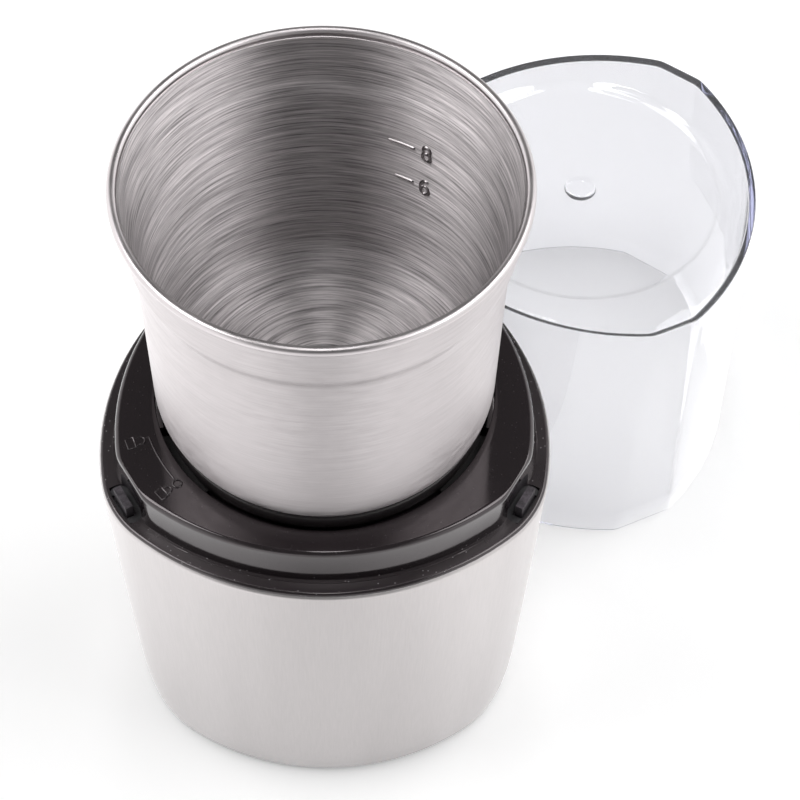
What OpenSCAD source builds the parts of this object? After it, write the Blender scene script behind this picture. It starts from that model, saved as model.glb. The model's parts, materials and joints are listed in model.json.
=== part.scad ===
// Electric food chopper with a three-sided base, a loose steel cup and a clear lid.
// Origin on the motor axis at the table. +X is to the right, +Y to the back, +Z up.
// Corners of the base stand at 90, 210 and 330 degrees, so one flat side faces the front.

/* [Base] */
// Height of the deck's lip above the table
lip_h = 109.6; // [105:0.2:115]
// Distance from the axis to the middle of a side, at the lip
lip_side = 54.25; // [53.5:0.05:55]
// Distance from the axis to the centre of a corner's curve
lip_corner = 34.1; // [33.5:0.1:34.6]
// Radius of a corner's curve
lip_corner_r = 26.2; // [25.8:0.1:26.8]
// Distance from the axis to the middle of a side of the steel sleeve, at the table
foot_side = 48.8; // [47.5:0.1:50]
// Thickness of the sleeve's sheet steel
sheet = 0.8; // [0.6:0.1:1]

/* [Deck] */
// Height of the plateau above the lip
plateau_rise = 10.7; // [9.5:0.1:12]
// Distance from the axis to the middle of a side of the plateau
plateau_side = 48.9; // [48.4:0.1:49]
// Distance from the axis to the flat that cuts off a corner of the plateau
plateau_flat = 54.6; // [54.2:0.1:54.8]
// Radius of the recess that takes the cup's foot
recess_r = 42.6; // [42.4:0.1:43]

/* [Cup] */
// Radius of the rolled rim, outside
rim_r = 47.5; // [47:0.1:48]
// Height of the cup, from its steel bottom to the top of the rim
cup_h = 78.7; // [70:0.1:85]
// Thickness of the cup's steel
cup_wall = 0.8; // [0.7:0.1:0.9]

/* [Lid] */
// Height of the lid
lid_h = 94.8; // [90:0.2:100]
// Thickness of the lid's wall
lid_wall = 1.8; // [1.5:0.1:1.9]
// Place of the lid on the table, from the motor axis
lid_place = [71.8, 87.2, 0];
// Turn of the lid as it stands
lid_turn = -36; // [-45:1:-30]

/* [Moving parts] */
// Turn of the cup from free to locked, in degrees
lock_turn = 20; // [15:1:22]
// Travel of the two lid actuators
press = 3; // [2:0.1:3]
// Radius of the motor shaft
shaft_r = 3; // [2.9:0.1:3.1]
// Reach of a blade arm
blade_reach = 31; // [26:0.5:33]

/* [Hidden] */

// Directions
sides = [270, 30, 150];
corners = [90, 210, 330];
left = 210;
right = 330;

// Heights, from the table up
cover_z = 1;
cover_t = 1.2;
sleeve_z = cover_z + cover_t;
sleeve_top = lip_h - 2.2;
plateau_z = lip_h + plateau_rise;
recess_floor = plateau_z - 11.3;
deck_t = 2.5;
well_z = 94;
cup_z = plateau_z;
rim_z = cup_z + cup_h;

// Colours
steel = [0.80, 0.79, 0.79];
black = [0.05, 0.05, 0.06];
dark = [0.12, 0.12, 0.13];
rubber = [0.16, 0.15, 0.17];
copper = [0.72, 0.38, 0.20];
bronze = [0.66, 0.50, 0.28];
iron = [0.36, 0.36, 0.38];
zinc = [0.62, 0.63, 0.65];
nylon = [0.86, 0.84, 0.78];
clear = [0.88, 0.89, 0.93, 0.35];

// Gap between parts that pass each other, round an actuator, and of a pin in its bore
gap = 0.4;
slot_gap = 0.35;
slip = 0.1;

// Three-sided outline with rounded corners, from true arcs.
// side: axis to mid side, c: axis to corner centre, r: corner radius
function side_radius(side, c, r) = (c*side - c*c - side*side + r*r) / (c - 2*side + 2*r);
function tangent_point(side, c, r, s, turn) =
    let (big = side_radius(side, c, r),
         from = -(big - side) * [cos(s), sin(s)],
         to = c * [cos(s + turn), sin(s + turn)],
         way = (to - from) / norm(to - from))
    [to + r*way, to + (r + 30)*way];

module rounded_three(side, c, r) {
    big = side_radius(side, c, r);
    frame_points = [for (s = sides)
        let (a = tangent_point(side, c, r, s, -60), b = tangent_point(side, c, r, s, 60))
        each [a[0], a[1], b[1], b[0]]];
    intersection() {
        for_sides(big, big - side);
        union() {
            polygon(frame_points);
            for (a = corners)
                rotate(a) translate([c, 0]) circle(r, $fn = 64);
        }
    }
}

// Three large discs that overlap, one bulging out of each side
module for_sides(big, back) {
    intersection() {
        rotate(sides[0]) translate([-back, 0]) circle(big, $fn = 128);
        rotate(sides[1]) translate([-back, 0]) circle(big, $fn = 128);
        rotate(sides[2]) translate([-back, 0]) circle(big, $fn = 128);
    }
}

// Outline of the plateau: the same bulging sides, with flat-cut corners, moved inwards by d
plateau_bulge = 68;
module plateau_outline(d = 0) {
    intersection() {
        for_sides(plateau_bulge - d, plateau_bulge - plateau_side);
        rotate(corners[0] + 60) circle(2*(plateau_flat - d), $fn = 3);
    }
}

// The lip's outline, moved inwards by d
module lip_outline(d = 0) {
    rounded_three(lip_side - d, lip_corner, lip_corner_r - d);
}

// Points round one level of a loft. shape: [side, c, r]
arc_steps = 9;
function loft_ring(shape, z) =
    let (side = shape[0], c = shape[1], r = shape[2], big = side_radius(side, c, r), back = big - side,
         half = atan2(c*sin(60), c*cos(60) + back))
    [for (s = sides) each concat(
        [for (i = [0:arc_steps]) let (t = s - half + 2*half*i/arc_steps)
            [big*cos(t) - back*cos(s), big*sin(t) - back*sin(s), z]],
        [for (i = [1:arc_steps - 1]) let (t = s + half + (120 - 2*half)*i/arc_steps)
            [c*cos(s + 60) + r*cos(t), c*sin(s + 60) + r*sin(t), z]])];

// Triangles between rings of n points. first: number of the lowest ring's first point
function wall_faces(n, rings, first, outward) =
    [for (k = [0:rings - 2], j = [0:n - 1])
        let (a = first + k*n + j, b = first + k*n + (j + 1)%n, c = b + n, d = a + n)
        each outward ? [[a, d, c], [a, c, b]] : [[a, c, d], [a, b, c]]];
function rim_faces(n, outer, inner, up) =
    [for (j = [0:n - 1])
        let (a = outer + j, b = outer + (j + 1)%n, c = inner + (j + 1)%n, d = inner + j)
        each up ? [[a, c, b], [a, d, c]] : [[a, b, c], [a, c, d]]];

// A thin-walled form open at both ends, from two stacks of rings
module open_shell(outer, inner) {
    n = len(outer[0]);
    m = len(outer);
    points = [for (ring = concat(outer, inner)) each ring];
    polyhedron(points, concat(
        wall_faces(n, m, 0, true), wall_faces(n, m, m*n, false),
        rim_faces(n, 0, m*n, false), rim_faces(n, (m - 1)*n, (2*m - 1)*n, true)));
}

// A thin-walled form closed at the top
module capped_shell(outer, inner) {
    n = len(outer[0]);
    m = len(outer);
    k = len(inner);
    points = [for (ring = concat(outer, inner)) each ring];
    polyhedron(points, concat(
        wall_faces(n, m, 0, true), wall_faces(n, k, m*n, false), rim_faces(n, 0, m*n, false),
        [[for (j = [n - 1:-1:0]) (m - 1)*n + j]], [[for (j = [0:n - 1]) (m + k - 1)*n + j]]));
}

// A coil spring: one unbroken tube that climbs at a steady rate
curl_steps = 8;
wire_sides = 6;
function coil_path(r, low, high, turns) =
    [for (i = [0:turns*curl_steps]) let (a = 360*i/curl_steps)
        [r*cos(a), r*sin(a), low + (high - low)*i/(turns*curl_steps)]];
function coil_gap(path, wire_r) =
    min([for (i = [0:len(path) - curl_steps - 1], j = [curl_steps - 2:min(curl_steps + 2, len(path) - 1 - i)])
        norm(path[i + j] - path[i])]) - 2*wire_r;
module coil_spring(r, wire_r, low, high, turns) {
    path = coil_path(r, low + wire_r, high - wire_r, turns);
    slope = atan2(high - low - 2*wire_r, turns*2*PI*r);
    points = [for (i = [0:len(path) - 1], k = [0:wire_sides - 1])
        let (a = 360*i/curl_steps, b = 360*k/wire_sides,
             out = [cos(a), sin(a), 0], up = [sin(a)*sin(slope), -cos(a)*sin(slope), cos(slope)])
        path[i] + wire_r*(cos(b)*out + sin(b)*up)];
    last = (len(path) - 1)*wire_sides;
    faces = concat(
        [for (i = [0:len(path) - 2], k = [0:wire_sides - 1])
            let (a = i*wire_sides + k, b = i*wire_sides + (k + 1)%wire_sides, c = b + wire_sides,
                 d = a + wire_sides)
            each [[a, b, c], [a, c, d]]],
        [[for (k = [wire_sides - 1:-1:0]) k]], [[for (k = [0:wire_sides - 1]) last + k]]);
    echo(least_gap_in_spring = coil_gap(path, wire_r));
    polyhedron(points, faces);
}

module ring(r_out, r_in, h) {
    difference() {
        cylinder(h = h, r = r_out, $fn = 96);
        translate([0, 0, -1]) cylinder(h = h + 2, r = r_in, $fn = 96);
    }
}

// A piece of a ring between two angles
module sector(r_out, r_in, h, from, to) {
    rotate(from) rotate_extrude(angle = to - from, $fn = 96)
        translate([r_in, 0]) square([r_out - r_in, h]);
}

// A pan-head screw with a cross recess, pointing up, its shank starting at z = 0
module screw(shank_r, length, head_r, head_h) {
    difference() {
        union() {
            cylinder(h = length, r = shank_r, $fn = 24);
            translate([0, 0, -head_h]) cylinder(h = head_h, r = head_r, $fn = 32);
        }
        for (a = [0, 90])
            rotate(a) translate([-head_r*0.6, -head_r*0.14, -head_h - 0.1])
                cube([head_r*1.2, head_r*0.28, head_h*0.6]);
    }
}

// Stand something at distance r from the axis in a direction
module at(angle, r, z = 0) {
    rotate(angle) translate([r, 0, z]) children();
}

/* Base, fixed pieces */

// The sleeve narrows steadily towards the table and then curls under
taper = 0.74;
curl = 12;
sleeve_low = [foot_side, 26.5, 28.3];
sleeve_high = [lip_side + 0.55, lip_corner, lip_corner_r + 0.3];
shoulder = 1.2;
sleeve_rings = [0, 0.02, 0.05, 0.09, 0.16, 0.3, 0.6, 1];
function sleeve_shape(t) =
    let (u = 1 - t, s = taper*u + (1 - taper)*pow(u, curl))
    sleeve_high + (sleeve_low - sleeve_high)*s;
function thinned(shape, d) = [shape[0] - d, shape[1], shape[2] - d];
function sleeve_ring(t, d) = loft_ring(thinned(sleeve_shape(t), d), sleeve_z + (sleeve_top - sleeve_z)*t);

gland_z = 17;
gland_r = 5;
module steel_sleeve() {
    outer = concat([for (t = sleeve_rings) sleeve_ring(t, 0)],
        [for (a = [30, 60, 90]) loft_ring(thinned(sleeve_high, shoulder*(1 - cos(a))*0.9),
            sleeve_top + shoulder*sin(a))]);
    inner = concat([for (t = sleeve_rings) sleeve_ring(t, sheet)],
        [for (a = [30, 60, 90]) loft_ring(thinned(sleeve_high, sheet + shoulder*(1 - cos(a))*0.5),
            sleeve_top + (shoulder - sheet)*sin(a))]);
    color(steel) difference() {
        open_shell(outer, inner);
        translate([0, 45, gland_z]) rotate([-90, 0, 0]) cylinder(h = 20, r = gland_r, $fn = 48);
    }
}

// Deck
lip_line = 50.8;
lip_t = 1;
lip_step = 1.25;
pocket_in = 54;
pocket_out = 59;
pocket_len = 12;
pocket_deep = 1.3;
pocket_roof = 1.2;
block_in = 56;
block_out = 58;
block_len = 7;
stem_at = 55.5;
stem_r = 1.8;
well_in = 13;
well_out = 15;
boss_at = 34;
boss_r = 4;
thread_r = 1.5;
skirt_h = 11;
skirt_step = 1.7;
skirt_t = 1.4;
ledge_in = 39.9;
ledge_z = recess_floor + 5.6;
ledge_t = 3;
lug_half = 14;
notch_half = 17;
wall_t = 2;

module slot_at(angle, r_in, r_out, length, low, high) {
    at(angle, r_in, low) translate([0, -length/2, 0]) cube([r_out - r_in, length, high - low]);
}

// The pocket round one actuator: round ends, and an outer side that follows the lip
module pocket(angle, h) {
    round_r = (pocket_out - pocket_in)/2;
    translate([0, 0, lip_h - pocket_deep]) linear_extrude(h) intersection() {
        rotate(angle) union() {
            translate([pocket_in, round_r - pocket_len/2]) square([2*round_r, pocket_len - 2*round_r]);
            for (y = [-1, 1])
                translate([pocket_in + round_r, y*(pocket_len/2 - round_r)]) circle(round_r, $fn = 32);
        }
        lip_outline(lip_step + 0.15);
    }
}

// The slot in the pocket's floor that the actuator slides in
module block_slot(angle) {
    slot_at(angle, block_in - slot_gap, block_out + slot_gap, block_len + 2*slot_gap, lip_h - 6, lip_h + 4);
}

// Raised line and ring on the plateau that show which way the cup turns to its lock
mark_r = 45.9;
mark_w = 0.6;
mark_h = 0.3;
mark_from = left - 10;
mark_ring = 1.2;
module lock_mark() {
    translate([0, 0, plateau_z]) {
        sector(mark_r + mark_w/2, mark_r - mark_w/2, mark_h, mark_from, mark_from + lock_turn - 2);
        at(mark_from + lock_turn - 0.4, mark_r - mark_w/2) ring(mark_ring, mark_ring - mark_w, mark_h);
    }
}

module deck_body() {
    difference() {
        union() {
            translate([0, 0, lip_h - lip_t]) linear_extrude(lip_t) lip_outline();
            translate([0, 0, lip_h - deck_t]) linear_extrude(deck_t) lip_outline(lip_step);
            translate([0, 0, lip_h - lip_t]) linear_extrude(plateau_rise + lip_t) plateau_outline();
        }
        translate([0, 0, lip_h - deck_t - 1]) linear_extrude(plateau_rise + 1) plateau_outline(wall_t);
    }
    difference() {
        translate([0, 0, lip_h - skirt_h]) linear_extrude(skirt_h - 1) lip_outline(skirt_step);
        translate([0, 0, lip_h - skirt_h - 1]) linear_extrude(skirt_h + 2) lip_outline(skirt_step + skirt_t);
        for (a = [left, right])
            slot_at(a, 40, 70, 30, lip_h - skirt_h - 1, lip_h - deck_t);
    }
    translate([0, 0, recess_floor - deck_t])
        cylinder(h = plateau_z - recess_floor + deck_t, r = recess_r + wall_t, $fn = 128);
    translate([0, 0, well_z]) cylinder(h = recess_floor - well_z, r = well_out, $fn = 64);
    for (a = corners)
        at(a, boss_at, recess_floor - 11) cylinder(h = 10.5, r = boss_r, $fn = 32);
    lock_mark();
}

module deck() {
    color(black) {
        difference() {
            deck_body();
            translate([0, 0, recess_floor]) cylinder(h = 30, r = recess_r, $fn = 128);
            // Well for the couplings, open to the shaft
            translate([0, 0, well_z + 2]) cylinder(h = 30, r = well_in, $fn = 64);
            translate([0, 0, well_z - 1]) cylinder(h = 10, r = seal_r, $fn = 96);
            for (a = corners)
                at(a, boss_at, recess_floor - 12) cylinder(h = 10, r = thread_r, $fn = 24);
            for (a = [left, right]) {
                pocket(a, pocket_deep + plateau_rise - pocket_roof);
                block_slot(a);
            }
            // Fine line that parts the lip from the groove
            difference() {
                translate([0, 0, lip_h - 0.4]) linear_extrude(1) lip_outline(lip_side - lip_line - 0.25);
                translate([0, 0, lip_h - 1]) linear_extrude(3) lip_outline(lip_side - lip_line + 0.25);
                for (a = corners)
                    slot_at(a, 30, 70, 40, lip_h - 2, lip_h + 2);
            }
        }
        // Three ledges that hold the cup's lugs down, with notches between them
        for (a = corners)
            translate([0, 0, ledge_z])
                sector(recess_r + 0.6, ledge_in, ledge_t, a + notch_half, a + 120 - notch_half);
    }
}

// Motor frame: a tube that hangs from the deck, with arms for the switches
frame_in = 38;
frame_out = 40;
frame_z = 20;
flange_z = recess_floor - 11 - deck_t;
arm_z = 90;
arm_t = 2;
switch_z = 72.5;
switch_h = 6.5;
switch_w = 6.8;
switch_in = 44.5;
switch_out = 57;
shelf_z = 87.5;
shelf_t = 2;
mount_at = 29;
mounts_at = [45, 135, 225, 315];
module motor_frame() {
    color(dark) difference() {
        union() {
            translate([0, 0, frame_z]) ring(frame_out, frame_in, flange_z + deck_t - frame_z);
            translate([0, 0, flange_z]) ring(frame_out, 29, deck_t);
            translate([0, 0, shelf_z]) ring(frame_out, 20, shelf_t);
            for (a = corners)
                at(a, cover_screw_at, cover_z + cover_t + 2) cylinder(h = 20, r = boss_r, $fn = 32);
            for (a = [left, right]) {
                slot_at(a, frame_in + 0.5, stem_at, 11, arm_z, arm_z + arm_t);
                at(a, stem_at, arm_z) cylinder(h = arm_t, r = 3.1, $fn = 32);
                at(a, frame_in + 0.5, switch_z - 1) translate([0, switch_w/2, 0])
                    cube([17, 1.8, arm_z - switch_z + 1]);
            }
            translate([-8, frame_in + 0.5, 28]) cube([16, block_y - frame_in - 0.5, 8]);
        }
        for (a = corners)
            at(a, boss_at, flange_z - 1) cylinder(h = 5, r = thread_r + 0.2, $fn = 24);
        for (a = corners)
            at(a, cover_screw_at, cover_z + cover_t) cylinder(h = 16, r = thread_r, $fn = 24);
        for (a = [left, right])
            at(a, stem_at, arm_z - 1) cylinder(h = 5, r = stem_r + slip, $fn = 32);
        for (a = mounts_at)
            at(a, mount_at, shelf_z - 1) cylinder(h = 5, r = thread_r + 0.2, $fn = 24);
        for (i = [0:11])
            rotate(15 + 30*i) translate([30, -3, frame_z + 4]) cube([20, 6, 3]);
    }
}

frame_screw_l = 9;
module frame_screws() {
    color(zinc) for (a = corners)
        at(a, boss_at, flange_z) screw(thread_r, frame_screw_l, 3, 2);
}

cover_screw_at = 35.6;
cover_rim = 8.5;
rim_t = 1.4;
vent_rows = 5;
foot_out = 3.5;
foot_w = 5;
foot_deep = 0.8;
module sleeve_outline(d) {
    rounded_three(sleeve_low[0] - d, sleeve_low[1], sleeve_low[2] - d);
}
module bottom_cover() {
    color(dark) difference() {
        union() {
            translate([0, 0, cover_z]) linear_extrude(cover_t) sleeve_outline(0.5);
            translate([0, 0, cover_z + 0.5]) linear_extrude(cover_rim) sleeve_outline(sheet + 0.6);
        }
        translate([0, 0, cover_z + cover_t + 2]) linear_extrude(cover_rim) sleeve_outline(sheet + 0.6 + rim_t);
        translate([0, 0, cover_z - 1]) linear_extrude(1 + foot_deep) foot_band();
        for (a = corners)
            at(a, cover_screw_at, cover_z - 1) cylinder(h = 8, r = thread_r + 0.2, $fn = 24);
        for (a = corners)
            at(a, cover_screw_at, cover_z - 1) cylinder(h = 2.2, r = 3.4, $fn = 32);
        for (i = [-vent_rows:vent_rows])
            translate([4*i - 0.9, -vent_half(4*i), cover_z - 1]) cube([1.8, 2*vent_half(4*i), 8]);
    }
}
function vent_half(x) = sqrt(26*26 - x*x);

module foot_band() {
    difference() {
        sleeve_outline(foot_out);
        sleeve_outline(foot_out + foot_w);
    }
}
module foot_ring() {
    color(rubber) linear_extrude(cover_z + foot_deep) foot_band();
}

module cover_screws() {
    color(zinc) for (a = corners)
        at(a, cover_screw_at, cover_z + 1.2) screw(thread_r, 13, 3, 0.9);
}

gland_bore = 3.4;
module cord_gland() {
    flange_y = 57.6;
    color(rubber) translate([0, 0, gland_z]) rotate([-90, 0, 0]) difference() {
        union() {
            translate([0, 0, 46]) cylinder(h = flange_y - 46, r = gland_r, $fn = 48);
            translate([0, 0, flange_y]) cylinder(h = 1.6, r = gland_r + 1.8, $fn = 48);
            translate([0, 0, 52.6]) cylinder(h = 1.6, r = gland_r + 1.6, $fn = 48);
        }
        translate([0, 0, 40]) cylinder(h = 30, r = gland_bore, $fn = 48);
    }
}

block_y = 41;
module terminal_block() {
    color(nylon) difference() {
        translate([-11, block_y, 26]) cube([22, 8, 12]);
        for (x = [-6, 0, 6])
            translate([x, block_y + 4, 30]) cylinder(h = 10, r = 1.7, $fn = 24);
        for (x = [-6, 0, 6])
            translate([x, block_y - 1, 29]) rotate([-90, 0, 0]) cylinder(h = 12, r = 1.2, $fn = 24);
    }
}

module thermal_fuse() {
    color(steel) translate([0, core_y + 2, 55]) {
        cylinder(h = 10, r = 2, $fn = 32);
        translate([0, 0, -6]) cylinder(h = 22, r = 0.5, $fn = 16);
    }
}

// Two leads that run round the outside of the frame, then up to the switches
wire_r = 0.8;
wire_at = frame_out + 2.5;
run_z = 44;
run = 1.2;
run_to = 78;
module lead_wires() {
    color([0.55, 0.12, 0.10]) {
        for (s = [-1, 1]) {
            translate([0, 0, run_z]) sector(wire_at + run/2, wire_at - run/2, run,
                s > 0 ? 90 + 8 : right - 360, s > 0 ? left : 90 - 8);
            at(90 + 8*s, wire_at, run_z - 6) cylinder(h = 6.6, r = wire_r, $fn = 16);
        }
        for (a = [left, right])
            at(a, wire_at, run_z + run/2) cylinder(h = run_to - run_z, r = wire_r, $fn = 16);
        for (a = [left, right])
            slot_at(a, wire_at, switch_in, run, run_to, run_to + run);
    }
}

// Rubber seal that fills a pocket round its actuator
module boot(angle) {
    color(rubber) difference() {
        pocket(angle, 0.9);
        block_slot(angle);
    }
}

// Switch body with its plunger, terminals and two rivets, on the frame's web
module microswitch(angle) {
    at(angle, switch_in, switch_z) {
        color(dark) difference() {
            translate([0, -switch_w/2, 0]) cube([switch_out - switch_in, switch_w, switch_h]);
            for (x = [3, 9.5])
                translate([x, 5, 2.2]) rotate([90, 0, 0]) cylinder(h = 10, r = 0.9, $fn = 24);
        }
        color(dark) for (y = [-switch_w/2, switch_w/2 - ear_t])
            difference() {
                translate([0, y, switch_h]) cube([2.4, ear_t, lever_z + 1 - switch_z - switch_h]);
                translate([lever_at - switch_in, y - 1, lever_z - switch_z]) rotate([-90, 0, 0])
                    cylinder(h = ear_t + 2, r = pin_r + slip, $fn = 24);
            }
        color(nylon) translate([5.5, 0, switch_h]) cylinder(h = 2.9, r = 0.8, $fn = 24);
        color(bronze) for (x = [1.2, 5.7, 10.2])
            translate([x, -0.3, -3]) cube([1.2, 0.6, 3]);
    }
}

/* Motor, fixed pieces */

core_low = 48;
core_high = 72;
core_x = 33;
core_y = 27;
yoke = 6;
gap_r = 19.5;
tip_r = 22.3;
tip_half = 52;
bolt_at = 33.5;
module stator_outline() {
    difference() {
        intersection() {
            square([2*core_x + 6, 2*core_y], center = true);
            circle(37, $fn = 96);
        }
        difference() {
            square([2*(core_x - yoke), 2*(core_y - yoke)], center = true);
            for (s = [0, 180])
                rotate(s) translate([gap_r + 1, -10]) square([20, 20]);
            for (s = [0, 180])
                rotate(s) intersection() {
                    difference() {
                        circle(tip_r, $fn = 96);
                        circle(gap_r, $fn = 96);
                    }
                    polygon([[0, 0], 40*[cos(tip_half), -sin(tip_half)], [60, 0],
                        40*[cos(tip_half), sin(tip_half)]]);
                }
        }
        circle(gap_r, $fn = 96);
        for (s = [0, 180])
            rotate(s) translate([bolt_at, 0]) circle(1.9, $fn = 24);
    }
}
module stator_core() {
    color(iron) translate([0, 0, core_low]) linear_extrude(core_high - core_low) stator_outline();
}

// Each coil is a flat racetrack wound round a pole's neck
coil_in = 22.9;
coil_out = 26.7;
module field_coils() {
    color(copper) for (s = [0, 180])
        rotate(s) translate([coil_in, 0, 0]) rotate([90, 0, 90]) linear_extrude(coil_out - coil_in)
            difference() {
                translate([-16.6, core_low - 7]) square([33.2, core_high - core_low + 14]);
                translate([-10, core_low]) square([20, core_high - core_low]);
            }
}

bracket_low = 26;
bracket_high = 80;
bearing_r = 8;
module bracket(z, up) {
    boss = 7.5;
    color(zinc) difference() {
        union() {
            translate([0, 0, z]) cylinder(h = 3.5, r = 36, $fn = 96);
            translate([0, 0, up ? z : z + 3.5 - boss]) cylinder(h = boss, r = bearing_r + 2, $fn = 48);
        }
        translate([0, 0, z - 10]) cylinder(h = 30, r = bearing_r, $fn = 48);
        for (a = [0, 180])
            at(a, bolt_at, z - 1) cylinder(h = 6, r = 1.9, $fn = 24);
        for (a = [45:90:315])
            at(a, 20, z - 1) cylinder(h = 6, r = 6, $fn = 32);
        for (a = mounts_at)
            at(a, mount_at, z - 1) cylinder(h = 6, r = thread_r, $fn = 24);
    }
}
module upper_bracket() {
    bracket(bracket_high, true);
}
module lower_bracket() {
    bracket(bracket_low, false);
}

// Sintered bronze bearings
module bearing(z) {
    color(bronze) translate([0, 0, z]) difference() {
        cylinder(h = 7, r = bearing_r, $fn = 48);
        translate([0, 0, -1]) cylinder(h = 9, r = shaft_r + 0.05, $fn = 48);
    }
}
module upper_bearing() {
    bearing(bracket_high + 0.5);
}
module lower_bearing() {
    bearing(bracket_low + 3.5 - 7.5);
}

brush_w = 6;
brush_z = 36;
commutator_r = 11;
holder_in = 13;
holder_out = 29.5;
module brush_holders() {
    color(bronze) for (a = [90, 270])
        rotate(a) difference() {
            union() {
                translate([holder_in, -brush_w/2 - 1, brush_z - brush_w/2 - 1])
                    cube([holder_out - holder_in, brush_w + 2, brush_w + 2]);
                translate([holder_in + 2, -brush_w/2 - 1, bracket_low + 3.5])
                    cube([holder_out - holder_in - 4, brush_w + 2, brush_z - bracket_low - 3.5]);
            }
            translate([holder_in - 1, -brush_w/2 - 0.05, brush_z - brush_w/2 - 0.05])
                cube([holder_out - holder_in, brush_w + 0.1, brush_w + 0.1]);
        }
}
brush_l = 11;
module carbon_brushes() {
    color(black) for (a = [90, 270])
        rotate(a) difference() {
            translate([commutator_r - 1, -brush_w/2, brush_z - brush_w/2])
                cube([brush_l + 1, brush_w, brush_w]);
            cylinder(h = 60, r = commutator_r + slip, $fn = 96);
        }
}
module brush_springs() {
    color(zinc) for (a = [90, 270])
        rotate(a) translate([0, 0, brush_z]) rotate([0, 90, 0])
            coil_spring(2, 0.3, commutator_r + brush_l, holder_out - 1, 5);
}

module motor_screws() {
    color(zinc) for (a = [0, 180])
        at(a, bolt_at, bracket_low) {
            screw(1.8, bracket_high + 6.5 - bracket_low, 2.6, 2);
            translate([0, 0, bracket_high + 3.5 - bracket_low]) cylinder(h = 2, r = 2.9, $fn = 6);
        }
}

// Rubber dampers between the motor and its shelf, and the screws through them
module motor_mounts() {
    color(rubber) for (a = mounts_at)
        at(a, mount_at, bracket_high + 3.5) difference() {
            cylinder(h = shelf_z - bracket_high - 3.5, r = 4.5, $fn = 32);
            translate([0, 0, -1]) cylinder(h = 8, r = 2, $fn = 24);
        }
}
module mount_screws() {
    color(zinc) for (a = mounts_at)
        at(a, mount_at, shelf_z + shelf_t) rotate([180, 0, 0]) screw(thread_r, 9.5, 3, 2);
}

seal_r = 8;
module shaft_seal_ring() {
    color(rubber) translate([0, 0, well_z]) ring(seal_r, shaft_r + gap, 2);
}

/* Motor, turning pieces */

shaft_low = 11;
drive_z = 97.5;
drive_t = 3.5;
dog_h = 5;
dog_half = 25;
dog_out = 10.3;
dog_in = 5;
coupling_r = 10.5;
module motor_shaft() {
    color(steel) translate([0, 0, shaft_low]) cylinder(h = drive_z + 3 - shaft_low, r = shaft_r, $fn = 48);
}

slots = 12;
armature_r = 19;
module armature_core() {
    color(iron) translate([0, 0, core_low]) linear_extrude(core_high - core_low) difference() {
        circle(armature_r, $fn = 96);
        circle(shaft_r, $fn = 48);
        for (i = [0:slots - 1])
            rotate(360*i/slots) {
                translate([14, 0]) circle(2.2, $fn = 24);
                translate([14, -0.7]) square([8, 1.4]);
            }
    }
}

// Winding: overhangs above and below the core, joined by bars in its slots
module armature_winding() {
    color(copper) {
        for (z = [core_low - 6.5, core_high])
            translate([0, 0, z]) difference() {
                cylinder(h = 6.5, r = 17, $fn = 64);
                translate([0, 0, -1]) cylinder(h = 9, r = 6, $fn = 48);
            }
        for (i = [0:slots - 1])
            at(360*i/slots, 14, core_low - 1) cylinder(h = core_high - core_low + 2, r = 1.9, $fn = 24);
    }
}

bars = 24;
module commutator() {
    color(copper) translate([0, 0, brush_z - 4.5]) difference() {
        cylinder(h = 9, r = commutator_r, $fn = 96);
        translate([0, 0, -1]) cylinder(h = 12, r = shaft_r, $fn = 48);
        for (i = [0:bars - 1])
            rotate(360*(i + 0.5)/bars) translate([commutator_r - 1, -0.2, -1]) cube([3, 0.4, 12]);
    }
}

fan_z = 12;
fan_blades = 11;
module cooling_fan() {
    color(nylon) translate([0, 0, fan_z]) difference() {
        union() {
            cylinder(h = 1.6, r = 28, $fn = 96);
            cylinder(h = 8, r = 6.5, $fn = 48);
            for (i = [0:fan_blades - 1])
                rotate(360*i/fan_blades) translate([10, -0.6, 1]) rotate([0, 0, 20]) cube([17, 1.2, 6]);
        }
        translate([0, 0, -1]) cylinder(h = 12, r = shaft_r, $fn = 48);
    }
}

// Two dogs on each half; the wide gaps let the cup turn to its lock without turning the motor
module drive_coupling() {
    color(nylon) translate([0, 0, drive_z]) difference() {
        union() {
            cylinder(h = drive_t, r = coupling_r, $fn = 64);
            for (a = [0, 180])
                sector(dog_out, dog_in, drive_t + dog_h, a - dog_half, a + dog_half);
        }
        translate([0, 0, -1]) cylinder(h = 4, r = shaft_r, $fn = 48);
    }
}

module spacer_washers() {
    color(nylon) {
        translate([0, 0, fan_z + 8]) ring(5, shaft_r, 1);
        translate([0, 0, core_low - 7.5]) ring(5, shaft_r, 1);
        translate([0, 0, bracket_high - 1.2]) ring(5, shaft_r, 0.9);
    }
}

/* Cup seat: turns with the cup, and stays when the cup is lifted */

seat_z = recess_floor + gap;
seat_t = 1.2;
key_at = 34;
key_r = 1.6;
key_h = 3;
module seat_ring() {
    color(rubber) translate([0, 0, seat_z]) {
        ring(38.5, 27, seat_t);
        for (a = corners)
            at(a + 60, key_at) cylinder(h = seat_t + key_h, r = key_r, $fn = 32);
    }
}

/* Cup */

foot_r = 8.2;
neck_z = 184;
shoulder_z = 181.2;
body_low_r = 42.3;
body_high_r = 42.95;
body_high_z = 168;
neck_r = 45;
bead = 1.15;
shaft_hole = 5.2;
cup_out = [
    [shaft_hole, cup_z],
    each [for (a = [-90:15:0]) [body_low_r - foot_r + foot_r*cos(a), cup_z + foot_r + foot_r*sin(a)]],
    [body_high_r, body_high_z],
    [43.15, 174.5],
    [43.6, shoulder_z],
    [neck_r, neck_z],
    [rim_r - 2*bead + cup_wall*0.6, rim_z - bead - 0.6]
];
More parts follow.
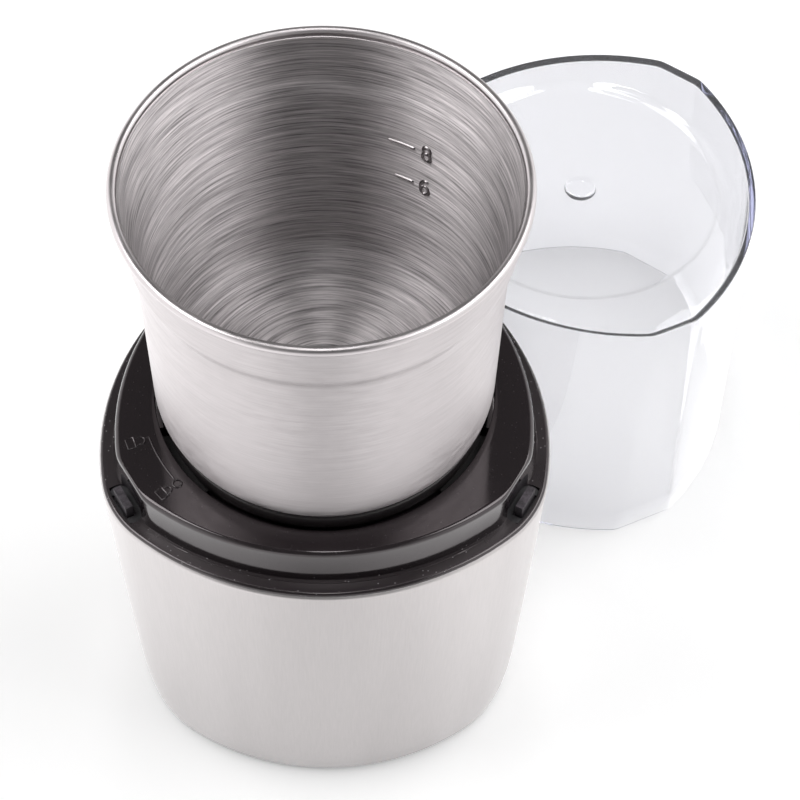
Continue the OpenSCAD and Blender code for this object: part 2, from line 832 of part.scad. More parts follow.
// Inside of the cup, followed back down
cup_in = [
    [rim_r - 2*bead - cup_wall*0.4, rim_z - bead - 0.6],
    [neck_r - cup_wall, neck_z + 0.2],
    [43.6 - cup_wall, shoulder_z + 0.2],
    [43.15 - cup_wall, 174.5],
    [body_high_r - cup_wall, body_high_z],
    each [for (a = [0:-15:-90]) [body_low_r - foot_r + (foot_r - cup_wall)*cos(a),
        cup_z + foot_r + (foot_r - cup_wall)*sin(a)]],
    [shaft_hole, cup_z + cup_wall]
];
tick_high = 168.3;
tick_low = 156.3;
module cup_shell() {
    color(steel) {
        rotate_extrude($fn = 128) polygon(concat(cup_out, cup_in));
        translate([0, 0, rim_z - bead]) rotate_extrude($fn = 128)
            translate([rim_r - bead, 0]) circle(bead, $fn = 24);
        tick(tick_high, 58.7, 68.4);
        tick(tick_low, 58.7, 65.6);
    }
}
// Raised level mark on the inside of the wall
module tick(z, from, to) {
    r = body_low_r + (body_high_r - body_low_r)*(z - cup_z - foot_r)/(body_high_z - cup_z - foot_r);
    translate([0, 0, z - 0.4]) sector(r - cup_wall + 0.2, r - cup_wall - 0.35, 0.8, from, to);
}

// Plastic foot with three lugs that turn in under the deck's ledges
base_r = 39.4;
lug_out = 42.2;
lug_z = recess_floor + 2.2;
lug_t = 3;
collar_r = 40.9;
collar_low = ledge_z + ledge_t + 1.4;
collar_high = cup_z + 2.2;
bush_r = shaft_hole;
bush_flange_r = 8.5;
hub_r = 13;
base_low = recess_floor + 2.2;
module cup_base() {
    color(black) difference() {
        union() {
            rotate_extrude($fn = 128) polygon([
                [0, base_low], [base_r, base_low], [base_r, collar_low - 1],
                [collar_r, collar_low], [collar_r, collar_high],
                each [for (a = [-45:-15:-90]) [body_low_r - foot_r + foot_r*cos(a),
                    cup_z + foot_r + foot_r*sin(a)]],
                [0, cup_z]]);
            for (a = corners)
                translate([0, 0, lug_z]) sector(lug_out, base_r - 1, lug_t, a - lug_half, a + lug_half);
        }
        // Hollow underneath, with a hub round the bush and bosses for the screws
        difference() {
            translate([0, 0, base_low - 1]) cylinder(h = cup_z - base_low - 2, r = 37, $fn = 96);
            translate([0, 0, base_low - 2]) cylinder(h = 20, r = hub_r, $fn = 64);
            for (a = corners)
                at(a, base_screw_at, base_low) cylinder(h = 20, r = 3.2, $fn = 32);
            for (a = corners)
                at(a + 60, key_at, base_low) cylinder(h = 20, r = 3.4, $fn = 32);
        }
        for (a = corners)
            at(a + 60, key_at, base_low - 1) cylinder(h = key_h + 2, r = key_r + gap, $fn = 32);
        for (a = corners)
            at(a, base_screw_at, base_low - 1) {
                cylinder(h = 20, r = thread_r, $fn = 24);
                cylinder(h = 1.9, r = 2.8, $fn = 32);
            }
        translate([0, 0, base_low - 1]) cylinder(h = 30, r = bush_r, $fn = 48);
        translate([0, 0, base_low - 1]) cylinder(h = 1 + room_h, r = coupling_r + 0.6, $fn = 64);
    }
}
base_screw_at = 22;
room_h = 1.6;

module cup_base_screws() {
    color(steel) for (a = corners)
        at(a, base_screw_at, base_low + 0.9) screw(thread_r, cup_z - base_low - 0.9, 2.6, 0.9);
}

bush_low = base_low + room_h;
module shaft_bush() {
    top = cup_z + cup_wall + seal_t;
    color(bronze) difference() {
        union() {
            translate([0, 0, bush_low]) cylinder(h = top - bush_low, r = bush_r, $fn = 48);
            translate([0, 0, top]) cylinder(h = 1.1, r = bush_flange_r, $fn = 48);
        }
        translate([0, 0, bush_low - 1]) cylinder(h = 20, r = spindle_r + 0.05, $fn = 48);
    }
}
module cup_seal() {
    color(rubber) translate([0, 0, cup_z + cup_wall]) ring(bush_flange_r, bush_r, seal_t);
}
seal_t = 0.6;

/* Blade */

spindle_r = 2.5;
blade_z = cup_z + cup_wall + 3.2;
blade_t = 1.4;
module blade_shaft() {
    color(steel) translate([0, 0, driven_z + 1])
        cylinder(h = blade_z + 6 - driven_z - 1, r = spindle_r, $fn = 32);
}

arm_w = 13;
arm_flat = 9;
tip_rise = 14;
tip_bow = 29;
tip_sweep = [-5, -10];
// Side view of the blade: flat at the hub, then bent up at a slope on both sides
module blade_profile() {
    rise = (blade_reach - arm_flat)*tan(tip_rise);
    lift = blade_t/cos(tip_rise);
    polygon([
        [-blade_reach, rise], [-arm_flat, 0], [arm_flat, 0], [blade_reach, rise],
        [blade_reach, rise + lift], [arm_flat, blade_t], [-arm_flat, blade_t], [-blade_reach, rise + lift]]);
}
module blade() {
    color(steel) translate([0, 0, blade_z]) difference() {
        intersection() {
            rotate([90, 0, 0]) translate([0, 0, -arm_w/2]) linear_extrude(arm_w) blade_profile();
            translate([0, 0, -1]) linear_extrude(20) blade_plan();
        }
        translate([0, 0, -1]) cylinder(h = 4, r = spindle_r, $fn = 32);
    }
}
// Plan of the blade: each arm has a straight edge and a swept cutting edge
module blade_plan() {
    for (s = [0, 180])
        rotate(s) intersection() {
            translate([-1, -20]) square([blade_reach + 1, 40]);
            circle(blade_reach - 0.3, $fn = 96);
            translate(tip_sweep) circle(tip_bow, $fn = 96);
        }
}

module blade_nut() {
    color(steel) translate([0, 0, blade_z + blade_t + 0.8]) difference() {
        union() {
            cylinder(h = 4, r = 4.6, $fn = 6);
            cylinder(h = 5.2, r = 3.6, $fn = 32);
        }
        translate([0, 0, -1]) cylinder(h = blade_z + 6 - blade_z - blade_t + 0.2, r = spindle_r, $fn = 32);
    }
}

module blade_washers() {
    color(steel) {
        translate([0, 0, blade_z + blade_t]) ring(6, spindle_r, 0.8);
        translate([0, 0, blade_z - 1.1]) ring(7, spindle_r, 1.1);
    }
}

driven_z = drive_z + drive_t + dog_h + gap;
driven_t = 3;
module cup_coupling() {
    color(nylon) translate([0, 0, driven_z]) difference() {
        union() {
            cylinder(h = driven_t, r = coupling_r, $fn = 64);
            for (a = [90, 270])
                translate([0, 0, -dog_h]) sector(dog_out, dog_in, dog_h + 1, a - dog_half, a + dog_half);
        }
        translate([0, 0, 1]) cylinder(h = 9, r = spindle_r, $fn = 32);
    }
}

/* Lid interlock */

tip_z = 84.4;
flange_top = lip_h - deck_t - gap;
flange_low = flange_top - 2.2;
block_top = lip_h + 3.2;
module actuator(angle) {
    assert(flange_low - press > arm_z + arm_t, "The actuator would meet the frame before its travel ends");
    color(rubber) {
        slot_at(angle, block_in, block_out, block_len, flange_low, block_top);
        slot_at(angle, stem_at - 3, block_out + 0.2, block_len + 2, flange_low, flange_top);
        at(angle, stem_at, tip_z + stem_r)
            cylinder(h = flange_low - tip_z - stem_r + 1, r = stem_r, $fn = 32);
        at(angle, stem_at, tip_z + stem_r) sphere(stem_r, $fn = 32);
    }
}

module return_spring(angle) {
    color(zinc) at(angle, stem_at) coil_spring(2.6, 0.3, arm_z + arm_t, flange_low, 7);
}

lever_at = 45.7;
lever_z = 83.6;
lever_t = 0.4;
ear_t = 0.9;
pin_r = 0.7;
module switch_lever(angle) {
    color(steel) {
        slot_at(angle, lever_at, 57.8, 4, lever_z, lever_z + lever_t);
        at(angle, lever_at, lever_z) rotate([90, 0, 0])
            cylinder(h = switch_w - 0.8, r = pin_r, center = true, $fn = 24);
    }
}

/* Lid */

lid_low_side = 53;
lid_high_side = 49.5;
lid_low_flat = 58.2;
lid_high_flat = 55.4;
lid_bulge = 70;
dish_r = 40.5;
dish_deep = 1.3;
gate_r = 3.8;
gate_rise = 0.9;
lid_top = 1.6;
corner_soft = 110;
side_angles = [-52, -46, -39, -31, -22, -12, 0, 12, 22, 31, 39, 46, 52];
corner_angles = [-6.5, -4, 0, 4, 6.5];
// Distance from the axis to a bulging side, at angle a from its middle
function bulge_at(side, a) =
    let (big = lid_bulge - lid_high_side + side, k = big - side)
    sqrt(big*big - k*k*sin(a)*sin(a)) - k*cos(a);
// The nearer of side and corner flat, with a small round between them
function lid_reach(side, flat, a) =
    let (b = bulge_at(side, a), f = flat/cos(60 - abs(a)))
    pow(pow(b, -corner_soft) + pow(f, -corner_soft), -1/corner_soft);
function lid_ring(side, flat, z) =
    [for (s = sides) each concat(
        [for (a = side_angles) lid_reach(side, flat, a)*[cos(s + a), sin(s + a), 0] + [0, 0, z]],
        [for (b = corner_angles) lid_reach(side, flat, 60 - abs(b))*[cos(s + 60 + b), sin(s + 60 + b), 0]
            + [0, 0, z]])];
lid_edge = 1;
function lid_level(t, d) = lid_ring(lid_low_side + (lid_high_side - lid_low_side)*t - d,
    lid_low_flat + (lid_high_flat - lid_low_flat)*t - d, lid_h*t);
module lid() {
    edge_t = 1 - lid_edge/lid_h;
    under = dish_deep + lid_top;
    outer = [lid_level(0, 0), lid_level(0.5, 0), lid_level(edge_t, 0), lid_level(1, lid_edge*0.7)];
    inner = [lid_level(0, lid_wall), lid_level(0.5, lid_wall), lid_level(1 - (under + 2.4)/lid_h, lid_wall),
        lid_level(1 - (under + 0.7)/lid_h, lid_wall + 0.7), lid_level(1 - under/lid_h, lid_wall + 2.4)];
    color(clear) translate(lid_place) rotate(lid_turn) difference() {
        capped_shell(outer, inner);
        translate([0, 0, lid_h - dish_deep]) difference() {
            cylinder(h = 3, r = dish_r, $fn = 96);
            translate([0, 0, -1]) cylinder(h = 1 + gate_rise, r = gate_r, $fn = 32);
        }
    }
}

steel_sleeve();
deck();
motor_frame();
frame_screws();
bottom_cover();
foot_ring();
cover_screws();
cord_gland();
terminal_block();
thermal_fuse();
lead_wires();
boot(left);  // boot_left
boot(right);  // boot_right
microswitch(left);  // microswitch_left
microswitch(right);  // microswitch_right
stator_core();
field_coils();
upper_bracket();
lower_bracket();
upper_bearing();
lower_bearing();
brush_holders();
carbon_brushes();
brush_springs();
motor_screws();
motor_mounts();
mount_screws();
shaft_seal_ring();
motor_shaft();
armature_core();
armature_winding();
commutator();
cooling_fan();
drive_coupling();
spacer_washers();
seat_ring();
cup_shell();
cup_base();
cup_base_screws();
shaft_bush();
cup_seal();
blade();
blade_nut();
blade_washers();
blade_shaft();
cup_coupling();
actuator(left);  // actuator_left
actuator(right);  // actuator_right
return_spring(left);  // return_spring_left
return_spring(right);  // return_spring_right
switch_lever(left);  // switch_lever_left
switch_lever(right);  // switch_lever_right
lid();
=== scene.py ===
# Electric food chopper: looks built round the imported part.
# The frame is the CAD model, in metres, with +X to the right, +Y to the back and +Z up.
import json
import math

import bmesh
import bpy
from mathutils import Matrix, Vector


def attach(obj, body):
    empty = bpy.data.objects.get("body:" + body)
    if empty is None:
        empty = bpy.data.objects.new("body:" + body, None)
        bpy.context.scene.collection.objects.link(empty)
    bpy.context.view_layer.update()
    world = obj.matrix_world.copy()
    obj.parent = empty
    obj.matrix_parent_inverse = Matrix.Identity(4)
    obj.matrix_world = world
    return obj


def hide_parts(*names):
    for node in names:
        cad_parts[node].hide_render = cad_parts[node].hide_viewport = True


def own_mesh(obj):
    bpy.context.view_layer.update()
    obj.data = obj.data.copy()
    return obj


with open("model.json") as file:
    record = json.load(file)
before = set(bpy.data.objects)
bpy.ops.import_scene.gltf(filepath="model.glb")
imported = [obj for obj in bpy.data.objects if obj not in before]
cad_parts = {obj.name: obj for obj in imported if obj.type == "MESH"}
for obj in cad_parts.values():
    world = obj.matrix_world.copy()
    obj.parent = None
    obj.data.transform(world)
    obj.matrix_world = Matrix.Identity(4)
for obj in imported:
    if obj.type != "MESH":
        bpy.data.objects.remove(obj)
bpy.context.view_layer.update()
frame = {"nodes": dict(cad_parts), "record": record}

bl_info = {
    "name": "Electric food chopper",
    "version": (1, 0, 0),
    "blender": (4, 5, 0),
    "location": "3D View > Sidebar > Chopper",
    "description": "Builds the steel, plastic, rubber and clear pieces of an electric food chopper",
    "category": "Add Mesh",
}

MM = 0.001
CAD_SLOTS = {row["node"]: row["material_slot"] for row in frame["record"]["subparts"]}

# Sizes in millimetres, the same as the part's.
# A round-cornered outline is its side, corner centre and corner radius.
SIDES = (30, 150, 270)
CORNERS = (90, 210, 330)
LIP_H = 109.6
LIP = (54.25, 34.1, 26.2)
SLEEVE_HIGH = (54.8, 34.1, 26.5)
SLEEVE_LOW = (48.8, 26.5, 28.3)
SLEEVE_Z = (2.2, 107.4)
SHEET = 0.8
GLAND_R, GLAND_Z = 5, 17
PLATEAU_Z = 120.3
PLATEAU_SIDE, PLATEAU_FLAT, PLATEAU_BACK = 48.9, 54.6, 19.1
PLATEAU_UNDER, LIP_LOW, LIP_UNDER, SKIRT_Z = 118, 108.6, 107.1, 98.6
RECESS_R, RECESS_Z = 42.6, 109.0
RECESS_OUT, RECESS_UNDER = 44.6, 106.5
WELL_R, WELL_OUT, WELL_BORE, WELL_Z = 13, 15, 8, (94, 96)
LEDGE_Z = 114.6
SIGN_R, MARK_R = 50.2, 45.9
RIM_R, RIM_Z, BEAD = 47.5, 199.0, 1.15
CUP_WALL, CUP_FOOT, CUP_BORE = 0.8, 8.2, 5.2
CUP_LOW_R, CUP_MID_R, CUP_MID_Z = 42.3, 42.95, 168
# Numeral, height and last direction of the fill lines inside the cup
FILL_LINES = ((8, 168.3, 68.4), (6, 156.3, 65.6))
FILL_START, NUMERAL_AT = 58.7, 54.0
BLADE_Z, BLADE_T, BLADE_HALF, BLADE_REACH = 124.3, 1.4, 6.5, 30.7
LID_AT, LID_TURN, LID_H, LID_WALL, LID_TOP = (71.8, 87.2), -36, 94.8, 1.8, 1.5
LID_LOW, LID_HIGH, LID_BACK = (53.0, 58.2), (49.5, 55.4), 20.5
DISH_R, DISH_DEEP, AXIS_DISC = 40.2, 1.3, 0.4
FLOOR_HALF = 4000

# The photograph's width, focal length and lens axis in pixels, and the camera's place and tilt
PHOTO, FOCAL, LENS_AXIS = 800, 2122.95, (349.68, 369.18)
CAMERA_AT, CAMERA_DOWN = (6.24, -306.31, 554.31), 54.37


def linear(code):
    """An sRGB hex colour as the linear numbers that Blender mixes with."""
    parts = [int(code[i:i + 2], 16) / 255 for i in (1, 3, 5)]
    return [c / 12.92 if c <= 0.04045 else ((c + 0.055) / 1.055) ** 2.4 for c in parts]


def colour(name, code, description):
    return bpy.props.FloatVectorProperty(
        name=name, description=description, subtype="COLOR", size=3, min=0, max=1, default=linear(code))


def length(name, mm, description):
    return bpy.props.FloatProperty(
        name=name, description=description, unit="LENGTH", min=0, default=mm * MM)


class ChopperSizes(bpy.types.PropertyGroup):
    """Small forms that the looks add to the solids"""
    deck_round: length("Deck edge round", 1.3, "Radius of the edge round the top of the deck")
    lip_round: length("Lip edge round", 0.8, "Radius of the deck's outer edge")
    wall_draft: length("Wall draft", 0.7, "How far the deck's upright wall spreads towards its foot")
    mould_line: length("Mould line", 0.07, "Height of the fine mould line along the deck's lip")
    mark_h: length("Mark height", 0.3, "Height of the raised marks on the deck")
    numeral_h: length("Numeral height", 4.6, "Height of the numerals inside the cup")
    lid_round: length("Lid edge round", 0.3, "Radius of the lid's top edge")
    lid_fillet: length("Lid inner corner", 0.4, "Radius where the lid's wall meets its top, inside")
    brush_pitch: length("Brush line pitch", 0.35, "Distance between drawn brush lines in the steel")


class ChopperColours(bpy.types.PropertyGroup):
    """Colours of the pieces that show"""
    sleeve: colour("Sleeve steel", "#ACA8A8", "Brushed stainless steel of the base")
    cup: colour("Cup steel", "#AFAAAB", "Spun stainless steel of the cup")
    blade: colour("Blade steel", "#C4C4C6", "Ground steel of the blade")
    deck: colour("Deck plastic", "#201B1D", "Glossy moulded ABS of the deck")
    rubber: colour("Rubber", "#2C282C", "Rubber of the actuators and seals")
    clear: colour("Lid tint", "#979CD0", "What the clear plastic turns white light into along its length")
    copper: colour("Copper", "#B4683A", "Enamelled copper wire")


def put(tree, kind, inputs=None, **settings):
    """Adds one node and gives its outputs. inputs: socket name or number to a value or to the socket that feeds it."""
    node = tree.nodes.new(kind)
    for name, value in settings.items():
        setattr(node, name, value)
    for key, value in (inputs or {}).items():
        if isinstance(value, bpy.types.NodeSocket):
            tree.links.new(value, node.inputs[key])
        else:
            node.inputs[key].default_value = value
    return node.outputs


def new_material(name):
    """An empty material with its tree."""
    material = bpy.data.materials.new(name)
    material.use_nodes = True
    material.node_tree.nodes.clear()
    return material, material.node_tree


def stretched(tree, x, y, z):
    """Object place in millimetres, stretched so that a noise draws lines instead of spots."""
    place = put(tree, "ShaderNodeTexCoord")["Object"]
    return put(tree, "ShaderNodeVectorMath", {0: place, 1: (1000 * x, 1000 * y, 1000 * z)}, operation="MULTIPLY")[0]


def streaks(tree, across, along, detail=2.0, rough=0.5):
    """A noise with about so many spots to a millimetre, across the upright axis and along it."""
    vector = stretched(tree, across, across, along)
    return put(tree, "ShaderNodeTexNoise", {"Vector": vector, "Scale": 1.0, "Detail": detail, "Roughness": rough})[0]


def mapped(tree, *ramps):
    """The product of ramps. A ramp is a value, two levels and the values they belong to, or else 0.3 and 0.7."""
    total = None
    for value, low, high, start, end in [(*ramp, 0.3, 0.7)[:5] for ramp in ramps]:
        level = put(tree, "ShaderNodeMapRange", {
            "Value": value, "From Min": start, "From Max": end, "To Min": low, "To Max": high})[0]
        total = level if total is None else put(tree, "ShaderNodeMath", {0: total, 1: level}, operation="MULTIPLY")[0]
    return total


def mirrored_only(tree, path, value):
    """The value for rays that left a shiny surface, and none for those that passed through a clear one."""
    outside = put(tree, "ShaderNodeMath", {0: path["Is Glossy Ray"], 1: path["Is Transmission Ray"]},
                  operation="SUBTRACT", use_clamp=True)[0]
    return put(tree, "ShaderNodeMath", {0: outside, 1: value}, operation="MULTIPLY")[0]


def scaled(colour_value, by):
    """A lighter or darker colour of the same hue."""
    return [min(1.0, c * by) for c in colour_value[:3]]


def surface(tree, base, rough, bump, volume=None, **inputs):
    """Adds the surface shader and the output. base: pattern, dark and light colour. rough: pattern, low and high.
    bump: pattern, height in millimetres and strength."""
    if base:
        value, dark, light, *ends = base
        inputs["Base_Color"] = put(tree, "ShaderNodeMix", {
            0: mapped(tree, (value, 0, 1, *ends)), 6: (*dark, 1), 7: (*light, 1)}, data_type="RGBA")[2]
    if rough:
        inputs["Roughness"] = mapped(tree, rough)
    value, mm, strength = bump
    inputs["Normal"] = put(tree, "ShaderNodeBump", {"Height": value, "Distance": mm * MM, "Strength": strength})[0]
    shader = put(tree, "ShaderNodeBsdfPrincipled", {key.replace("_", " "): value for key, value in inputs.items()})
    put(tree, "ShaderNodeOutputMaterial", {"Surface": shader[0], **(volume or {})})


# Steel

def brushed_sleeve_steel(sizes, colours):
    """Stainless steel sheet, brushed upright with a fine belt and then formed.
    It gives the eye a soft, light, milky grey with faint upright bands and hardly any mirror image."""
    material, tree = new_material("Stainless_Steel_Brushed_Upright")
    # Belt lines are about 0.1 mm apart, too fine to show, so they are drawn at the brush pitch
    lines = streaks(tree, 1 / (sizes.brush_pitch / MM), 0.02, 3, 0.6)
    bands = streaks(tree, 0.05, 0.004)
    surface(tree, (lines, scaled(colours.sleeve, 0.93), colours.sleeve[:]), (bands, 0.34, 0.44), (lines, 0.012, 0.35),
            Metallic=1.0, Anisotropic=0.55,
            Tangent=put(tree, "ShaderNodeTangent", direction_type="RADIAL", axis="Z")[0])
    return material


def spun_cup_steel(sizes, colours):
    """Stainless steel, deep drawn and brushed while it spun, outside of the cup.
    It gives the eye a satin grey whose fine level lines break up soft upright highlights."""
    material, tree = new_material("Stainless_Steel_Spun_Satin")
    # Its lines are also about 0.1 mm apart and drawn at the brush pitch
    lines = streaks(tree, 0.05, 1 / (sizes.brush_pitch / MM), 3, 0.65)
    mottle = streaks(tree, 0.16, 0.7, 4, 0.7)
    surface(tree, (lines, scaled(colours.cup, 0.88), colours.cup[:], 0.3, 0.65), (mottle, 0.32, 0.46),
            (lines, 0.008, 0.3), Metallic=1.0, Anisotropic=0.75, Anisotropic_Rotation=0.25,
            Tangent=put(tree, "ShaderNodeTangent", direction_type="RADIAL", axis="Z")[0])
    return material


def rings(tree, along, across, detail, rough):
    """A noise of rings over height plus distance from the axis, so that wall and floor join with no seam."""
    place = put(tree, "ShaderNodeSeparateXYZ", {0: put(tree, "ShaderNodeTexCoord")["Object"]})
    flat = put(tree, "ShaderNodeCombineXYZ", {0: place[0], 1: place[1]})[0]
    radius = put(tree, "ShaderNodeVectorMath", {0: flat}, operation="LENGTH")["Value"]
    climb = put(tree, "ShaderNodeMath", {0: place[2], 1: radius}, operation="ADD")[0]
    lift = put(tree, "ShaderNodeMath", {0: climb, 1: 1000 * across}, operation="MULTIPLY")[0]
    side = put(tree, "ShaderNodeVectorMath", {0: flat, 3: 1000 * along}, operation="SCALE")[0]
    side = put(tree, "ShaderNodeSeparateXYZ", {0: side})
    vector = put(tree, "ShaderNodeCombineXYZ", {0: side[0], 1: side[1], 2: lift})[0]
    return put(tree, "ShaderNodeTexNoise", {"Vector": vector, "Scale": 1.0, "Detail": detail, "Roughness": rough})[0]


def ringed_cup_steel(sizes, colours):
    """Stainless steel, polished inside with coarse grit while the cup spun.
    It gives the eye fine rings of light and dark that gather into bright fans."""
    material, tree = new_material("Stainless_Steel_Ringed")
    # Coarse grit leaves rings about 0.2 mm wide, which are drawn 0.6 mm apart so that they show
    lines = rings(tree, 0.05, 0.6 / (sizes.brush_pitch / MM), 4, 0.7)
    coarse = rings(tree, 0.012, 0.35, 2, 0.5)
    surface(tree, (lines, scaled(colours.cup, 0.42), scaled(colours.cup, 1.75)), (coarse, 0.5, 0.6),
            (lines, 0.02, 0.6), Metallic=1.0, Anisotropic=0.97, Anisotropic_Rotation=0.25,
            Tangent=put(tree, "ShaderNodeTangent", direction_type="RADIAL", axis="Z")[0])
    return material


def satin_rim_steel(colours):
    """Stainless steel rolled over and brushed. It gives the eye a satin bead with one soft light line."""
    material, tree = new_material("Stainless_Steel_Satin_Rim")
    haze = streaks(tree, 0.08, 2.0, 3, 0.6)
    surface(tree, (haze, scaled(colours.cup, 0.95), scaled(colours.cup, 1.15)), (haze, 0.27, 0.37), (haze, 0.01, 0.3),
            Metallic=1.0)
    return material


def ground_blade_steel(colours):
    """Hardened steel, ground along each arm. It gives the eye a cool mirror crossed by fine straight scratches."""
    material, tree = new_material("Blade_Steel_Ground")
    # Grinding leaves scratches finer than 0.1 mm, which are drawn 0.3 mm apart
    lines = put(tree, "ShaderNodeTexNoise", {
        "Vector": stretched(tree, 0.06, 3.2, 3.2), "Scale": 1.0, "Detail": 3, "Roughness": 0.6})[0]
    surface(tree, (lines, scaled(colours.blade, 0.86), colours.blade[:]), (lines, 0.16, 0.3), (lines, 0.01, 0.4),
            Metallic=1.0)
    return material


def turned_metal(name, code, rough, spot=0.6):
    """A maker of plain worked metals: machined, plated or sintered, with a slight mottle of the given spot in mm."""
    material, tree = new_material(name)
    mottle = streaks(tree, 1 / spot, 1 / spot, 3, 0.6)
    base = linear(code)
    surface(tree, (mottle, scaled(base, 0.82), base), (mottle, rough - 0.06, rough + 0.08), (mottle, 0.02, 0.3),
            Metallic=1.0)
    return material


def stacked_core_iron():
    """Silicon steel laminations, stamped, stacked and varnished. It gives the eye dull grey edges in fine layers."""
    material, tree = new_material("Core_Iron_Laminated")
    # Laminations are 0.5 mm thick
    layers = put(tree, "ShaderNodeTexWave", {"Vector": stretched(tree, 0, 0, 1), "Scale": 0.32, "Distortion": 0.0},
                 wave_type="BANDS", bands_direction="Z")["Fac"]
    blotch = streaks(tree, 0.3, 0.3, 3)
    base = linear("#6E6E72")
    surface(tree, (blotch, scaled(base, 0.7), base), (blotch, 0.42, 0.6), (layers, 0.06, 0.8), Metallic=0.85)
    return material


def wound_copper(colours):
    """Enamelled copper wire, machine wound in 0.5 mm turns. It gives the eye warm, glossy, close ridges."""
    material, tree = new_material("Copper_Wire_Enamelled")
    turns = put(tree, "ShaderNodeTexWave", {
        "Vector": stretched(tree, 1, 1, 1), "Scale": 0.32, "Distortion": 0.6, "Detail": 1.0},
        wave_type="BANDS", bands_direction="DIAGONAL")["Fac"]
    base = colours.copper[:]
    surface(tree, (turns, scaled(base, 0.55), base, 0.1, 0.9), (turns, 0.3, 0.42), (turns, 0.12, 0.8),
            Metallic=0.9, Coat_Weight=0.4, Coat_Roughness=0.2)
    return material


# Plastic and rubber

def glossy_deck_abs(colours):
    """ABS, moulded in a polished tool. It gives the eye near black with crisp white lines along its edges,
    a faint waviness and a few specks of dust."""
    material, tree = new_material("ABS_Moulded_Gloss_Black")
    ripple = streaks(tree, 0.12, 0.12)
    dust = put(tree, "ShaderNodeTexVoronoi", {"Vector": stretched(tree, 0.7, 0.7, 0.7), "Scale": 1.0})["Distance"]
    height = put(tree, "ShaderNodeSeparateXYZ", {0: put(tree, "ShaderNodeTexCoord")["Object"]})[2]
    up = put(tree, "ShaderNodeSeparateXYZ", {0: put(tree, "ShaderNodeNewGeometry")["Normal"]})[2]
    # Dust lies on the lip and hardly on the wiped plateau
    specks = mapped(tree, (dust, 1.0, 0.0, 0.05, 0.13), (height, 1.0, 0.1, (LIP_H + 0.5) * MM, (LIP_H + 1) * MM))
    # The lid's rim has rubbed the lip's flat dull, and has left its rounded edges bright
    worn = mapped(tree, (height, 0.2, 0.0, (LIP_H + 0.1) * MM, (LIP_H + 0.5) * MM), (up, 0.0, 1.0, 0.93, 0.99))
    gloss = put(tree, "ShaderNodeMath", {0: mapped(tree, (ripple, 0.07, 0.13)), 1: worn}, operation="ADD")[0]
    # Its reflections are tinted pink, which paints the pinkish studio light into the plastic
    surface(tree, (specks, colours.deck[:], linear("#A09C9E"), 0.0, 1.0), None, (ripple, 0.05, 0.08),
            Roughness=gloss, IOR=1.56, Specular_Tint=(1.0, 0.92, 0.94, 1.0))
    return material


def etched_plastic(name, code, grain, rough):
    """A maker of moulded plastics from an etched tool: dull, with a fine grain of the given size in mm."""
    material, tree = new_material(name)
    pits = streaks(tree, 1 / grain, 1 / grain, 3, 0.6)
    drift = streaks(tree, 0.06, 0.06)
    base = linear(code)
    surface(tree, (drift, scaled(base, 0.85), base), (pits, rough - 0.08, rough + 0.08), (pits, 0.04, 0.5), IOR=1.5)
    return material


def actuator_rubber(colours):
    """Silicone rubber, compression moulded. It gives the eye a dull purple black, paler in streaks on its upward faces:
    partly wear where a lid has rubbed it, partly a painted highlight of the light from above.
    """
    material, tree = new_material("Silicone_Rubber_Matte")
    grain = streaks(tree, 2.4, 2.4, 4, 0.65)
    rub = streaks(tree, 0.5, 0.9, 4, 0.7)
    up = put(tree, "ShaderNodeSeparateXYZ", {0: put(tree, "ShaderNodeNewGeometry")["Normal"]})[2]
    # Upward faces are painted paler in streaks: partly rub wear from the lid, partly painted light falling from above
    rub_wear_and_top_light = mapped(tree, (up, 0, 1, 0.4, 1.0), (rub, 0, 1, 0.4, 0.65))
    surface(tree, (rub_wear_and_top_light, colours.rubber[:], scaled(colours.rubber, 3.4), 0.0, 1.0), (grain, 0.5, 0.68),
            (grain, 0.05, 0.5), IOR=1.43)
    return material


def clear_lid_plastic(colours):
    """Clear styrene acrylonitrile, injection moulded in a polished tool. It gives the eye white through its faces
    and blue grey where one looks along its wall, because the tint adds up over the longer path."""
    material, tree = new_material("SAN_Moulded_Clear")
    flow = streaks(tree, 0.05, 0.03)
    tint = put(tree, "ShaderNodeVolumeAbsorption", {"Color": (*colours.clear[:], 1), "Density": 12.0})[0]
    surface(tree, None, (flow, 0.0, 0.02), (flow, 0.06, 0.1), {"Volume": tint},
            Base_Color=(0.95, 0.95, 0.965, 1), Transmission_Weight=0.95, IOR=1.5)
    return material


